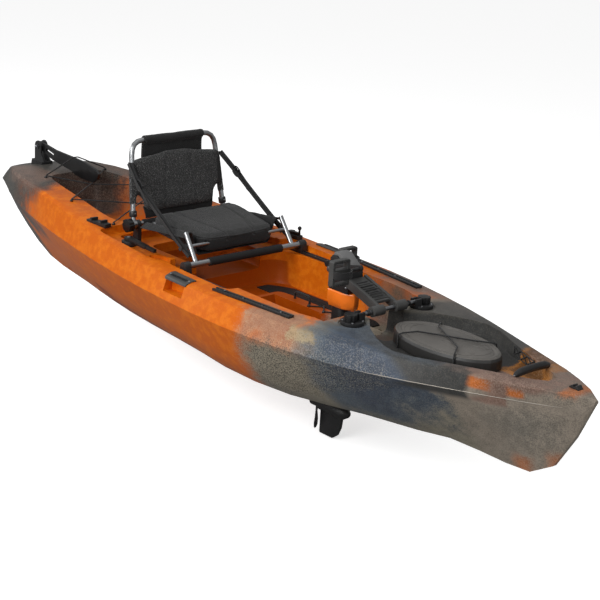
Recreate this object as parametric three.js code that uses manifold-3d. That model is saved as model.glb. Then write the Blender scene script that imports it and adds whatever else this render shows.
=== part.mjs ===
// A 3.66 m sit-on-top pedal kayak: moulded hull, sliding frame seat, swinging pedal drive and flip-up rudder.
// Millimetres. +X points to the bow, +Y to port, +Z up. The origin is the middle of the keel, under the hull.
import * as THREE from "three";
import { mergeVertices } from "three/addons/utils/BufferGeometryUtils.js";
import Module from "manifold-3d";

const wasm = await Module();
wasm.setup();

// Hull
const HULL_LENGTH = 3660;
const HULL_BEAM = 914;
const HULL_DEPTH = 475;
const HALF_LENGTH = HULL_LENGTH / 2;
const HALF_BEAM = HULL_BEAM / 2;
const HULL_WALL = 6;
const HULL_STATIONS = 27;
const BILGE_STEPS = 4;
const FIT_GAP = 0.3;
const OVERRUN = 60;
const MERGE_DISTANCE = 1e-3;
const INNER_AFT_SHARE = -0.85;
const INNER_FORE_SHARE = 0.9;

// How round each part is drawn
const TUBE_SIDES = 12;
const DISC_SIDES = 24;
const FINE_SIDES = 32;
const BORE_SIDES = 16;
const BEND_STEPS = 4;
const WELL_POINTS = 24;

// Footwell and side decks
const FLOOR_HEIGHT = 200;
const SEAT_FLOOR_HEIGHT = 270;
const LEDGE_HEIGHT = 345;
const SHELF_HEIGHT = 378;
const FOOTWELL_AFT = -80;
const FOOTWELL_FORE = 800;
const FOOTWELL_HALF_WIDTH = 288;
const FOOTWELL_DRAFT = 12;
const WELL_DRAFT = 28;
const LEDGE_DRAFT = 8;
const WELL_FILLET = 20;
const ROUND_CORNER = 6;
const SQUARE_CORNER = 12;
const SEAT_WELL_AFT = -400;
const SEAT_WELL_HALF_WIDTH = 205;
const REAR_LEDGE_AFT = -480;
const REAR_LEDGE_HALF_WIDTH = 286;
const FRONT_LEDGE_FORE = 340;
const FRONT_LEDGE_HALF_WIDTH = 340;
const SHELF_AFT = -515;
const SHELF_FORE = -88;
const SHELF_HALF_WIDTH = 366;
const TRAY_CENTRE = [-118, -318];
const TRAY_HALF_LENGTH = 58;
const TRAY_HALF_WIDTH = 30;
const TRAY_DEPTH = 14;

// Console, drive slot and the pods beside it
const CONSOLE_AFT = 140;
const CONSOLE_HEIGHT = 245;
const CONSOLE_HALF_WIDTH = 112;
const CONSOLE_ROUND = 12;
const CONSOLE_CORNER = 8;
const SLOT_FORE = 800;
const SLOT_HALF_WIDTH = 46;
const SLOT_SWING_CLEARANCE = 16;
const SLOT_ARC_STEPS = 5;
const POD_CENTRE = [838, 150];
const POD_HALF_LENGTH = 96;
const POD_HALF_WIDTH = 72;
const CHANNEL_AFT = 740;
const CHANNEL_FORE = 966;
const CHANNEL_AFT_HALF_WIDTH = 74;
const CHANNEL_FORE_HALF_WIDTH = 118;
const CHANNEL_FLOOR = 262;

// Tank well, bow well and hatch
const TANK_AFT_SHARE = -0.67486;
const TANK_AFT = TANK_AFT_SHARE * HALF_LENGTH;
const TANK_FORE = -505;
const TANK_AFT_HALF_WIDTH = 158;
const TANK_GUNWALE = 199;
const TANK_FORE_HALF_WIDTH = HALF_BEAM - TANK_GUNWALE;
const TANK_FLOOR = 275;
const BOW_WELL_AFT = 846;
const BOW_WELL_FORE_SHARE = 0.90273;
const BOW_WELL_FORE = BOW_WELL_FORE_SHARE * HALF_LENGTH;
const BOW_WELL_LENGTH = BOW_WELL_FORE - BOW_WELL_AFT;
const BOW_WELL_HALF_WIDTH = 262;
const BOW_WELL_FLOOR = 307;
const BOW_WELL_DRAFT = 12;
const HATCH_SHARE = 0.3933;
const HATCH_CENTRE = BOW_WELL_AFT + HATCH_SHARE * BOW_WELL_LENGTH;
const LID_LENGTH_SHARE = 0.2928;
const LID_HALF_LENGTH = LID_LENGTH_SHARE * BOW_WELL_LENGTH;
const LID_HALF_WIDTH = 129;
const LID_OVERLAP = 28;
const HATCH_HALF_LENGTH = LID_HALF_LENGTH - LID_OVERLAP;
const HATCH_HALF_WIDTH = 102;
const COAMING_HEIGHT = 12;
const COAMING_WALL = 8;
const SCUPPER_RADIUS = 13;
const SCUPPER_SIDES = 8;

// Side handles
const HANDLE_CENTRE = 122;
const HANDLE_LENGTH = 134;
const HANDLE_WIDTH = 85;
const HANDLE_INNER = HALF_BEAM - HANDLE_WIDTH;
const HANDLE_DROP = 18.3;
const HANDLE_THICKNESS = 5;
const GRIP_RECESS_DEPTH = 24;
const GRIP_RECESS_HEIGHT = 46;
const GRIP_RECESS_INSET = 8;

// Drive
const CROSSBAR_X = 861;
const CROSSBAR_Z = 390;
const CROSSBAR_RADIUS = 8;
const CROSSBAR_HALF_LENGTH = 160;
const SKEG_AFT = 543;
const SKEG_BOTTOM = -218;
const SKEG_HALF_THICKNESS = 7;
const GEARCASE_Z = -95;
const GEARCASE_RADIUS = 28;
const GEARCASE_AFT = 540;
const GEARCASE_FORE = 700;
const GEARCASE_TAPER = 30;
const LEG_TOP = 345;
const COLLAR_TOP = 396;
const COLLAR_AFT = 571;
const COLLAR_SHOULDER = 650;
const COLLAR_NOSE = 694;
const COLLAR_HALF_WIDTH = 38;
const COLLAR_NOSE_HALF_WIDTH = 12;
const HEAD_HALF_WIDTH = 36;
const COVER_HALF_WIDTH = 31;
const CRANK_X = 610;
const CRANK_Z = 487;
const CRANK_THROW = 160;
const CRANK_REST_ANGLE = (15 * Math.PI) / 180;
const CRANK_AXLE_RADIUS = 9;
const CRANK_AXLE_END = 57.5;
const CRANK_ARM_INNER = 57.8;
const CRANK_ARM_THICKNESS = 13;
const CRANK_BOSS_RADIUS = 17;
const CRANK_TIP_RADIUS = 12;
const SPINDLE_RADIUS = 6;
const SPINDLE_END = 211;
const PEDAL_INNER = 128;
const PEDAL_OUTER = 212;
const PEDAL_HALF_HEIGHT = 50;
const PEDAL_HALF_THICKNESS = 12;
const PEDAL_RIM = 11;
const PEDAL_STRAP_REACH = 38;
const PEDAL_STRAP_HALF_WIDTH = 14;
const PEDAL_STRAP_THICKNESS = 3;
const PEDAL_SWEEP_CLEARANCE = 5;
const YOKE_HALF_WIDTH = 52;
const YOKE_RAIL = 13;
const YOKE_HUB_RADIUS = 20;
const YOKE_HUB_INNER = 30;
const YOKE_HUB_OUTER = 86;
const YOKE_RIBS = 4;
const PROP_RADIUS = 115;
const PROP_HUB_RADIUS = 22;
const PROP_HUB_LENGTH = 48;
const PROP_HUB_AFT = GEARCASE_AFT - PROP_HUB_LENGTH;
const PROP_X = PROP_HUB_AFT + PROP_HUB_RADIUS;
const PROP_HUB_TAIL = 12;
const PROP_ARCH_CLEARANCE = 13;
const PROP_ARCH_LENGTH = 76;

// Receivers that hold the crossbar
const RECEIVER_Y = 182;
const RECEIVER_SEAT = 362;
const RECEIVER_SEAT_MARGIN = 8;
const RECEIVER_RADIUS = 44;
const RECEIVER_TOP = 376;
const RECEIVER_BLOCK = [134, 163];
const RECEIVER_BLOCK_HALF_LENGTH = 17;
const RECEIVER_BLOCK_TOP = 402;
const RECEIVER_KNOB_Y = 191;
const RECEIVER_KNOB_RADIUS = 25;
const RECEIVER_KNOB_TOP = 403;
const RECEIVER_KNOB_SCALLOPS = 6;
const RECEIVER_SCALLOP_RADIUS = 7;

// Rails, pads and small deck fittings
const GEAR_TRACK = [[300, 370], [700, 334]];
const GEAR_TRACK_WIDTH = 30;
const GEAR_TRACK_RISE = 6;
const TRACK_GROOVE = 9;
const TRACK_GROOVE_DEPTH = 4;
const SEAT_TRACK = [[-40, 305], [296, 305]];
const SEAT_TRACK_WIDTH = 24;
const SEAT_TRACK_HEIGHT = 10;
const PAD_THICKNESS = 4;
const PAD_HOLE_RADIUS = 24;
const PAD_HOLE = [110, 165];
const LOOP_AFT = 262;
const LOOP_FORE = 350;
const LOOP_Y = 80;
const LOOP_RISE = 30;
const LOOP_RADIUS = 5;
const CORD_RADIUS = 3;
const TANK_CORD_RISE = 12;
const TANK_PEG_RADIUS = 5;
const CONSOLE_CORD_X = [370, 590];
const CONSOLE_CORD_Y = [58, 100];
const CONSOLE_CORD_TURNS = 5;
const BOW_HANDLE_SHARE = 0.84863;
const BOW_HANDLE_X = BOW_HANDLE_SHARE * HALF_LENGTH;
const BOW_HANDLE_HALF_SPAN = 100;
const BOW_HANDLE_HALF_WIDTH = 15;
const BOW_HANDLE_THICKNESS = 8;
const BOW_HANDLE_RISE = 26.3;
const BOW_FITTING_SHARE = 0.95191;
const BOW_FITTING_X = BOW_FITTING_SHARE * HALF_LENGTH;
const BOW_FITTING_HALF_LENGTH = 20;
const BOW_FITTING_HALF_WIDTH = 13;
const BOW_FITTING_RISE = 12.1;
const BOW_FITTING_HOLE = 5;
const CLIP_PLACES = [[-612, 36], [-496, 68]];
const CLIP_WIDTH = 34;
const CLIP_RISE = 4.9;
const CLIP_JAW_RISE = 11;
const CLIP_JAW = 10;

// Lid
const LID_SKIRT_BOTTOM = 310.5;
const LID_SHOULDER = 346;
const LID_TOP = 359;
const LID_CROWN = 365;
const LID_SKIRT = 15;
const LID_LIFT_GAP = 3;

// Rudder
const RUDDER_STEER_SHARE = -0.81148;
const RUDDER_STEER_X = RUDDER_STEER_SHARE * HALF_LENGTH;
const RUDDER_PIVOT_AFT = 7;
const RUDDER_SEAT_HALF_LENGTH = 45;
const RUDDER_SEAT_HALF_WIDTH = 32;
const RUDDER_SEAT_RISE = 6.1;
const RUDDER_PIVOT_RISE = 76;
const RUDDER_FOOT_HEIGHT = 11;
const RUDDER_FOOT_HALF_WIDTH = 30;
const RUDDER_CHEEK = [13, 20];
const RUDDER_CHEEK_RADIUS = 27;
const RUDDER_PIN_RADIUS = 6;
const RUDDER_PIN_HEAD = 10;
const RUDDER_PIN_END = 24;
const RUDDER_HUB_RADIUS = 23;
const RUDDER_HUB_HALF_WIDTH = 12.5;
const RUDDER_BLADE_HALF_THICKNESS = 6;

// Rudder controls
const STEERING_PIVOT = [-78, 352];
const STEERING_BASE = [[-96, 336], [-26, 369]];
const STEERING_BASE_TOP = 396;
const STEERING_DISC_RADIUS = 15;
const STEERING_ARM_END = [-32, 354];
const STEERING_ARM_WIDTH = 14;
const STEERING_TOP = 408;
const STEERING_BALL_RADIUS = 9;
const STEERING_BALL_HEIGHT = 428;
const LEVER_PIVOT = [-330, -319];
const LEVER_BASE_RADIUS = 30;
const LEVER_BASE_TOP = 400;
const LEVER_DISC_RADIUS = 20;
const LEVER_END = [-128, -336];
const LEVER_WIDTH = 22;
const LEVER_TOP = 414;
const LEVER_GRIP = 62;

// Seat
const SEAT_BAR_X = 36;
const SEAT_BAR_Z = 383;
const SEAT_BAR_RADIUS = 12.7;
const SEAT_BAR_END = 318.5;
const HINGE_X = -410;
const HINGE_Z = 436;
const HINGE_BAR_RADIUS = 11;
const HINGE_BAR_END = 252;
const POST_FOOT = [36, 254, 383];
const POST_TOP = [-42, 251, 493];
const POST_RADIUS = 10;
const STUB_X = -10;
const STUB_Z = 445;
const STUB_Y = 252;
const RAIL_Y = 150;
const RAIL_RADIUS = 7;
const FRONT_FOAM_RADIUS = 17;
const FRONT_FOAM_END = 190;
const REAR_FOAM_RADIUS = 16;
const REAR_FOAM_END = 190;
const FRONT_FOOT = [290, 322];
const FRONT_FOOT_HALF_LENGTH = 22;
const FOOT_ROUND = 18;
const REAR_FOOT = [210, 228];
const REAR_FOOT_BASE = [208, 252];
const REAR_FOOT_BASE_HEIGHT = 8;
const KNOB_RADIUS = 28;
const KNOB_END = 277;
const KNOB_SCALLOPS = 8;
const KNOB_SCALLOP_RADIUS = 6;
const BACK_EYE = [229, 251.5];
const BACK_EYE_RADIUS = 18;
const BACK_FOOT = [-411, 240.5, 448];
const BACK_CORNER = [-470, 216, 776];
const BACK_TUBE_RADIUS = 11;
const BACK_BEND = 58;
const HEADER_HALF_WIDTH = 156;
const HEADER_ROUND = 18;
const HEADER_BOTTOM = 694;
const HEADER_FLAP = [-487, -466];
const PANEL_THICKNESS = 20;
const PANEL_CROWN = 8;
const PANEL_HEM_RADIUS = 15;
const PANEL_HEM = [0.21, 0.75];
const CUSHION_FORE = 8;
const CUSHION_AFT = -325;
const CUSHION_FORE_HALF_WIDTH = 194;
const CUSHION_AFT_HALF_WIDTH = 232;
const CUSHION_FORE_BOTTOM = 408;
const CUSHION_AFT_BOTTOM = 437;
const CUSHION_THICKNESS = 58;
const CUSHION_CROWN = 9;
const CUSHION_CORNER = 7;
const SEAM_RADIUS = 3;
const STRAP_WIDTH = 24;
const STRAP_THICKNESS = 3;
const STRAP_PLACES = [[-447, 240, 690], [-352, 257, 619], [10, 266, 410]];
const BUCKLE_LENGTH = 34;
const BUCKLE_WIDTH = 32;
const BUCKLE_THICKNESS = 8;

// Solid modelling helpers

// A closed geometry as a manifold solid.
function solid(geometry) {
  const bare = geometry.clone();
  bare.deleteAttribute("normal");
  bare.deleteAttribute("uv");
  const merged = mergeVertices(bare, MERGE_DISTANCE);
  const vertProperties = new Float32Array(merged.attributes.position.array);
  const triVerts = new Uint32Array(merged.index.array);
  const body = new wasm.Manifold(new wasm.Mesh({ numProp: 3, vertProperties, triVerts }));
  if (body.volume() > 0) return body;
  for (let i = 0; i < triVerts.length; i += 3) {
    [triVerts[i], triVerts[i + 1]] = [triVerts[i + 1], triVerts[i]];
  }
  return new wasm.Manifold(new wasm.Mesh({ numProp: 3, vertProperties, triVerts }));
}

// A manifold solid as a geometry with flat normals.
function geometryOf(body) {
  const mesh = body.getMesh();
  const geometry = new THREE.BufferGeometry();
  geometry.setAttribute("position", new THREE.BufferAttribute(mesh.vertProperties, 3));
  geometry.setIndex(new THREE.BufferAttribute(mesh.triVerts, 1));
  const flat = geometry.toNonIndexed();
  flat.computeVertexNormals();
  return flat;
}

// A smooth guide through rows of [place, value] with no overshoot.
function guide(places, values) {
  const steps = places.slice(1).map((place, i) => (values[i + 1] - values[i]) / (place - places[i]));
  const slopes = places.map((_, i) => {
    if (i === 0) return steps[0];
    if (i === places.length - 1) return steps[i - 1];
    const [before, after] = [steps[i - 1], steps[i]];
    return before * after <= 0 ? 0 : (2 * before * after) / (before + after);
  });
  return (x) => {
    let i = 0;
    while (i < places.length - 2 && x > places[i + 1]) i += 1;
    const span = places[i + 1] - places[i];
    const t = Math.min(1, Math.max(0, (x - places[i]) / span));
    const a = values[i] * (1 + 2 * t) * (1 - t) ** 2 + values[i + 1] * t * t * (3 - 2 * t);
    return a + span * (slopes[i] * t * (1 - t) ** 2 - slopes[i + 1] * t * t * (1 - t));
  };
}

// A closed surface through rings of equal length. Rings run anticlockwise as seen from the last ring.
// The second half of each ring is split the other way, so a mirrored outline gives a mirrored surface.
function loft(rings) {
  const count = rings[0].length;
  const positions = rings.flat().flatMap((point) => [point.x, point.y, point.z]);
  const indices = [];
  for (let k = 0; k < rings.length - 1; k += 1) {
    for (let i = 0; i < count; i += 1) {
      const j = (i + 1) % count;
      const [a, b] = [k * count + i, k * count + j];
      indices.push(...(i < count / 2
        ? [a, b, b + count, a, b + count, a + count]
        : [a, b, a + count, b, b + count, a + count]));
    }
  }
  [0, rings.length - 1].forEach((k) => {
    const middle = rings[k].reduce((sum, point) => sum.add(point), new THREE.Vector3()).divideScalar(count);
    const hub = positions.length / 3;
    positions.push(middle.x, middle.y, middle.z);
    for (let i = 0; i < count; i += 1) {
      const [a, b] = [k * count + i, k * count + ((i + 1) % count)];
      indices.push(...(k === 0 ? [b, a, hub] : [a, b, hub]));
    }
  });
  const geometry = new THREE.BufferGeometry();
  geometry.setAttribute("position", new THREE.Float32BufferAttribute(positions, 3));
  geometry.setIndex(indices);
  return solid(geometry);
}

// A plan outline given in X and Y, raised from one height to another.
function plate(shape, bottom, top, curveSegments = 8) {
  const options = { depth: top - bottom, bevelEnabled: false, curveSegments };
  const geometry = new THREE.ExtrudeGeometry(shape, options);
  geometry.translate(0, 0, bottom);
  return solid(geometry);
}

// A side outline given in X and Z, carried across from one Y to another.
function slab(shape, from, to, curveSegments = 8) {
  const geometry = new THREE.ExtrudeGeometry(shape, { depth: to - from, bevelEnabled: false, curveSegments });
  geometry.rotateX(Math.PI / 2);
  geometry.translate(0, to, 0);
  return solid(geometry);
}

function boxAt(from, to) {
  const size = to.map((value, i) => value - from[i]);
  const geometry = new THREE.BoxGeometry(...size);
  geometry.translate(...from.map((value, i) => value + size[i] / 2));
  return solid(geometry);
}

const AXIS_TURNS = { x: [0, 0, -Math.PI / 2], y: [0, 0, 0], z: [Math.PI / 2, 0, 0] };

// A cylinder along one axis, centred on a point.
function rod(radius, length, axis, centre, sides = 24) {
  const geometry = new THREE.CylinderGeometry(radius, radius, length, sides);
  const [rx, ry, rz] = AXIS_TURNS[axis];
  geometry.rotateX(rx).rotateY(ry).rotateZ(rz);
  geometry.translate(...centre);
  return solid(geometry);
}

function join(...bodies) {
  return bodies.reduce((whole, body) => whole.add(body));
}

// A path that passes through every point given, so a tube gets one ring at each.
class BentPath extends THREE.Curve {
  constructor(points) {
    super();
    this.points = points.map((point) => new THREE.Vector3(...point));
  }

  getPoint(t) {
    const place = t * (this.points.length - 1);
    const i = Math.min(Math.floor(place), this.points.length - 2);
    return this.points[i].clone().lerp(this.points[i + 1], place - i);
  }

  getPointAt(u) {
    return this.getPoint(u);
  }

  getTangentAt(u) {
    const last = this.points.length - 1;
    const i = Math.round(u * last);
    const before = this.points[i].clone().sub(this.points[Math.max(i - 1, 0)]).normalize();
    const after = this.points[Math.min(i + 1, last)].clone().sub(this.points[i]).normalize();
    return before.add(after).normalize();
  }
}

// Corner points with each inner corner replaced by a short bend.
function bent(corners, radius, steps = BEND_STEPS) {
  const points = corners.map((corner) => new THREE.Vector3(...corner));
  return points.flatMap((point, i) => {
    if (i === 0 || i === points.length - 1) return [point.toArray()];
    const back = points[i - 1].clone().sub(point);
    const ahead = points[i + 1].clone().sub(point);
    const reach = Math.min(radius, back.length() / 2, ahead.length() / 2);
    const start = point.clone().addScaledVector(back.normalize(), reach);
    const end = point.clone().addScaledVector(ahead.normalize(), reach);
    const curve = new THREE.QuadraticBezierCurve3(start, point, end);
    return curve.getPoints(steps).map((place) => place.toArray());
  });
}

// A round bar along a path.
function tube(points, radius, sides = TUBE_SIDES) {
  const section = new THREE.Shape();
  section.absarc(0, 0, radius, 0, 2 * Math.PI);
  const extrudePath = new BentPath(points);
  const steps = points.length - 1;
  const options = { steps, extrudePath, bevelEnabled: false, curveSegments: sides / 2 };
  return solid(new THREE.ExtrudeGeometry(section, options));
}

// A closed outline from a list of places.
function outline(places) {
  return new THREE.Shape(places.map(([a, b]) => new THREE.Vector2(a, b)));
}

function disc(radius, [x, y], bottom, top, sides = DISC_SIDES) {
  return rod(radius, top - bottom, "z", [x, y, (bottom + top) / 2], sides);
}

// A straight strip between two plan places, with its top at the heights given there.
function strip(from, to, width, thickness) {
  const along = new THREE.Vector2(to[0] - from[0], to[1] - from[1]).normalize();
  const across = [-along.y, along.x].map((value) => (value * width) / 2);
  const rings = [from, to].map(([x, y, top]) => [
    new THREE.Vector3(x - across[0], y - across[1], top - thickness),
    new THREE.Vector3(x + across[0], y + across[1], top - thickness),
    new THREE.Vector3(x + across[0], y + across[1], top),
    new THREE.Vector3(x - across[0], y - across[1], top),
  ]);
  return loft(rings);
}

// The same body on the other side of the middle plane.
function mirrored(body) {
  return body.mirror([0, 1, 0]);
}

// Hull guides. Each row: place along the half length, then keel height, flat half width, bilge control half
// width and height, crease half width and height, sheer half width and height, and deck centre height.
// Widths are shares of the half beam, heights are shares of the depth.
const hullShares = [
  [-1, 0.621, 0.005, 0.009, 0.621, 0.022, 0.632, 0.018, 0.638, 0.646],
  [-0.956, 0.474, 0.014, 0.026, 0.493, 0.098, 0.663, 0.077, 0.747, 0.756],
  [-0.907, 0.326, 0.017, 0.031, 0.362, 0.197, 0.684, 0.136, 0.853, 0.861],
  [-0.847, 0.194, 0.024, 0.044, 0.244, 0.328, 0.691, 0.284, 0.905, 0.914],
  [-0.765, 0.053, 0.042, 0.077, 0.118, 0.47, 0.684, 0.47, 0.958, 0.966],
  [-0.656, 0.004, 0.084, 0.153, 0.072, 0.602, 0.678, 0.602, 0.96, 0.968],
  [-0.546, 0, 0.153, 0.278, 0.067, 0.711, 0.667, 0.667, 0.941, 0.949],
  [-0.383, 0, 0.247, 0.449, 0.053, 0.821, 0.644, 0.755, 0.895, 0.903],
  [-0.219, 0, 0.33, 0.6, 0.072, 0.908, 0.623, 0.842, 0.846, 0.855],
  [0, 0, 0.398, 0.724, 0.095, 0.974, 0.6, 0.902, 0.792, 0.8],
  [0.191, 0, 0.438, 0.807, 0.042, 1, 0.594, 0.915, 0.775, 0.783],
  [0.328, 0, 0.397, 0.722, 0.025, 0.963, 0.589, 0.871, 0.771, 0.779],
  [0.464, 0, 0.262, 0.477, 0.021, 0.875, 0.585, 0.788, 0.762, 0.771],
  [0.601, 0.004, 0.12, 0.219, 0.042, 0.733, 0.592, 0.656, 0.756, 0.764],
  [0.71, 0.038, 0.06, 0.109, 0.084, 0.569, 0.604, 0.519, 0.752, 0.76],
  [0.792, 0.017, 0.042, 0.077, 0.078, 0.427, 0.621, 0.409, 0.752, 0.76],
  [0.863, 0.019, 0.03, 0.055, 0.08, 0.306, 0.64, 0.311, 0.754, 0.762],
  [0.918, 0.116, 0.022, 0.039, 0.168, 0.197, 0.648, 0.208, 0.758, 0.766],
  [0.962, 0.379, 0.018, 0.033, 0.406, 0.098, 0.657, 0.109, 0.758, 0.766],
  [1, 0.705, 0.005, 0.009, 0.705, 0.018, 0.712, 0.018, 0.726, 0.735],
];
const guideNames = [
  "keel", "flat", "bilge", "bilgeHeight", "crease", "creaseHeight", "sheer", "sheerHeight", "deckHeight",
];
const guidePlaces = hullShares.map((row) => row[0]);
const hullGuides = Object.fromEntries(
  guideNames.map((name, column) => [name, guide(guidePlaces, hullShares.map((row) => row[column + 1]))]),
);
const sheerShares = { below: 0.08, round: 0.05, deck: 0.5, crown: 0.75 };
const gatheringShare = 0.6;
const filletShare = 0.08;

// Bow well half widths: share of its length, then share of its greatest half width.
const bowWellShares = [
  [0, 0.35], [0.104, 0.65], [0.21, 0.85], [0.29, 0.955], [0.36, 1], [0.46, 0.93],
  [0.59, 0.725], [0.765, 0.475], [0.95, 0.22], [1, 0.1],
];

// Drain holes: place along and half the spread across.
const TANK_SCUPPER_INSET = 115;
const scupperPlaces = [[110, 165], [640, 190], [TANK_AFT + TANK_SCUPPER_INSET, 75], [-620, 150]];

// Places and outlines of the fittings. Shares run along a length first, then across or up.
const CORD_SIDES = 6;
const ARCH_STEPS = 10;
const QUARTER_TURN = 90;
const padPlaces = [[-35, 132], [600, 132], [600, 232], [555, 251], [70, 251], [10, 222], [-35, 190]];
const HANDLE_LOW = deckHeightAt(HANDLE_CENTRE) - HANDLE_DROP;
const RUDDER_SEAT_TOP = deckHeightAt(RUDDER_STEER_X) + RUDDER_SEAT_RISE;
const RUDDER_FOOT_TOP = RUDDER_SEAT_TOP + RUDDER_FOOT_HEIGHT;
const RUDDER_PIVOT = [RUDDER_STEER_X - RUDDER_PIVOT_AFT, RUDDER_SEAT_TOP + RUDDER_PIVOT_RISE];
const TANK_EYELET_INSETS = [37, 15];
const TANK_EYELET_OFFSETS = [5, -3, 4];
const TANK_EYELET_MIDDLE_SHARE = 0.5274;
const TANK_EYELETS = [
  [TANK_AFT + TANK_EYELET_INSETS[0], TANK_AFT_HALF_WIDTH + TANK_EYELET_OFFSETS[0]],
  [
    TANK_AFT + TANK_EYELET_MIDDLE_SHARE * (TANK_FORE - TANK_AFT),
    TANK_FORE_HALF_WIDTH + TANK_EYELET_OFFSETS[1],
  ],
  [TANK_FORE - TANK_EYELET_INSETS[1], TANK_FORE_HALF_WIDTH + TANK_EYELET_OFFSETS[2]],
];
const BLADE_DIP_FORWARD = 136;
const BLADE_DIP_DROP = 35;
const BLADE_DIP_HEIGHT = HULL_DEPTH - BLADE_DIP_DROP;
const BLADE_PEAK_RISE = 96;
const BLADE_PEAK_HEIGHT = BLADE_DIP_HEIGHT + BLADE_PEAK_RISE;
const clipJawShares = [0.25, 0.75];
const bowNetShares = [0.6067, 0.7866];
const BOW_NET_WIDTHS = [167.5, 100.5];
const BOW_NET_PLACES = BOW_NET_WIDTHS.map((y, end) => {
  return [BOW_WELL_AFT + bowNetShares[end] * BOW_WELL_LENGTH, y];
});
const BOW_NET_HEIGHTS = [322, 354];
const BOW_NET_RADIUS = 2;
const BOW_NET_SIDES = 4;
const BOW_NET_CROSSINGS = 3;
const LID_POINTS = 32;
const HATCH_CORD_ANGLE = (56 * Math.PI) / 180;
const LID_GROOVE = 2.5;
const lidInsets = [10, 22, 33];
const LEG_CORNER = 3;
const legShares = [
  [0, 0.125, 0.81, 0.39], [0.67, 0.125, 0.8, 0.5],
  [0.8, 0.22, 0.62, 0.56], [1, 0.22, 0.62, 0.56],
];
const skegShares = [[0, 0.05], [0, 0.97], [0.03, 1], [0.47, 1], [0.62, 0.85], [0.72, 0.57], [0.78, 0]];
const COLLAR_ROUND = 8;
const HEAD_LENGTH = [574, 684];
const HEAD_TOP = 530;
const headShares = [[0, 0], [0.93, 0], [1, 0.38], [0.97, 0.62], [0.32, 1], [0.1, 1], [0, 0.9]];
const coverShares = [[0.973, 0.625], [1.03, 0.705], [0.4, 1.085], [0.14, 1.09], [0.1, 1.005], [0.323, 1.005]];
const YOKE_AFT = 684.3;
const YOKE_TOP = 466;
const YOKE_RIB_RADIUS = 4;
const yokeShares = [[0, 0.99], [0, 0.55], [0.9, -0.16], [1, -0.2], [1, 0.2], [0.85, 0.34]];
const yokeDeckShares = [[0, 0.91], [0, 0.79], [0.82, 0.16], [0.82, 0.28]];
const yokeRibShares = [[0.3, 0.75], [0.69, 0.345]];
const foilShares = [[-1, 0], [-0.5, -0.7], [0.2, -1], [0.8, -0.5], [1, 0], [0.8, 0.6], [0.2, 1], [-0.5, 0.8]];

// Propeller blade: share of the radius, chord, thickness, then pitch as a share of a right angle.
const bladeShares = [
  [0.1, 0.4, 0.09, 0.62], [0.25, 0.46, 0.08, 0.55], [0.5, 0.52, 0.06, 0.42],
  [0.75, 0.47, 0.045, 0.32], [0.93, 0.32, 0.03, 0.26], [1, 0.14, 0.02, 0.24],
];
const RUDDER_BLADE_LENGTH = 484;
const bladeOutlineShares = [
  [0, 0.037], [0.066, 0.035], [0.26, 0.01], [0.554, 0.002], [0.746, -0.006], [0.955, -0.041], [1, -0.072],
  [0.981, -0.124], [0.913, -0.171], [0.748, -0.171], [0.614, -0.159], [0.537, -0.133], [0.386, -0.116],
  [0.211, -0.095], [0.045, -0.045], [0, -0.039],
];
const armGapShares = [[0.099, -0.031], [0.231, -0.058], [0.242, -0.035], [0.107, -0.002]];
const cheekShares = [[0, 0], [1.5, 0], [1.5, 0.14], [1, 0.6], [1, 1], [0, 1]];
const panelShares = [
  [0.4, 0.1], [1.02, 0.11], [1.17, 0.16], [1.2, 0.25], [1.3, 0.31], [1.47, 0.35],
  [1.42, 0.77], [1.1, 0.79], [0.75, 0.81], [0.3, 0.84],
];
const panelSeamShares = [[0.55, 0.12], [0.5, 0.4], [0.42, 0.65], [0.4, 0.815]];
const cushionSeamShares = [[0.02, 0.62], [0.35, 0.6], [0.7, 0.5], [0.96, 0.36]];

function hullLines(share) {
  const wide = (name) => (hullGuides[name](share) * HULL_BEAM) / 2;
  const high = (name) => hullGuides[name](share) * HULL_DEPTH;
  return { wide, high };
}

// Half of the hull's section from the keel to the middle of the deck.
function halfSection(share) {
  const { wide, high } = hullLines(share);
  const flat = [wide("flat"), high("keel")];
  const control = [wide("bilge"), high("bilgeHeight")];
  const crease = [wide("crease"), high("creaseHeight")];
  const bend = (t, k) => (1 - t) ** 2 * flat[k] + 2 * t * (1 - t) * control[k] + t * t * crease[k];
  const bilge = Array.from({ length: BILGE_STEPS + 1 }, (_, i) => [
    bend(i / BILGE_STEPS, 0),
    bend(i / BILGE_STEPS, 1),
  ]);
  const [sheer, sheerHeight, deck] = [wide("sheer"), high("sheerHeight"), high("deckHeight")];
  const { lerp } = THREE.MathUtils;
  return [
    ...bilge,
    [lerp(sheer, crease[0], sheerShares.below), lerp(sheerHeight, crease[1], sheerShares.below)],
    [sheer * (1 - sheerShares.round), sheerHeight],
    [sheer * sheerShares.deck, lerp(sheerHeight, deck, sheerShares.crown)],
    [0, deck],
  ];
}

// A closed outline drawn in by an inset, as pairs of numbers.
function drawnIn(loop, inset) {
  return loop.map(([a, b], i) => {
    const before = loop[(i + loop.length - 1) % loop.length];
    const after = loop[(i + 1) % loop.length];
    const along = new THREE.Vector2(after[0] - before[0], after[1] - before[1]).normalize();
    return [a - along.y * inset, b + along.x * inset];
  });
}

// The full section as a ring, drawn in by an inset.
function hullRing(share, inset) {
  const half = halfSection(share);
  const keel = [0, half[0][1]];
  const otherSide = half.slice(0, -1).reverse().map(([y, z]) => [-y, z]);
  const x = (share * HULL_LENGTH) / 2;
  return drawnIn([keel, ...half, ...otherSide], inset).map(([y, z]) => new THREE.Vector3(x, y, z));
}

// Stations lie closer together towards the two ends.
const hullStationShares = Array.from({ length: HULL_STATIONS + 1 }, (_, i) => {
  const even = (2 * i) / HULL_STATIONS - 1;
  const gathered = -Math.cos((Math.PI * i) / HULL_STATIONS);
  return THREE.MathUtils.lerp(even, gathered, gatheringShare);
});

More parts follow.
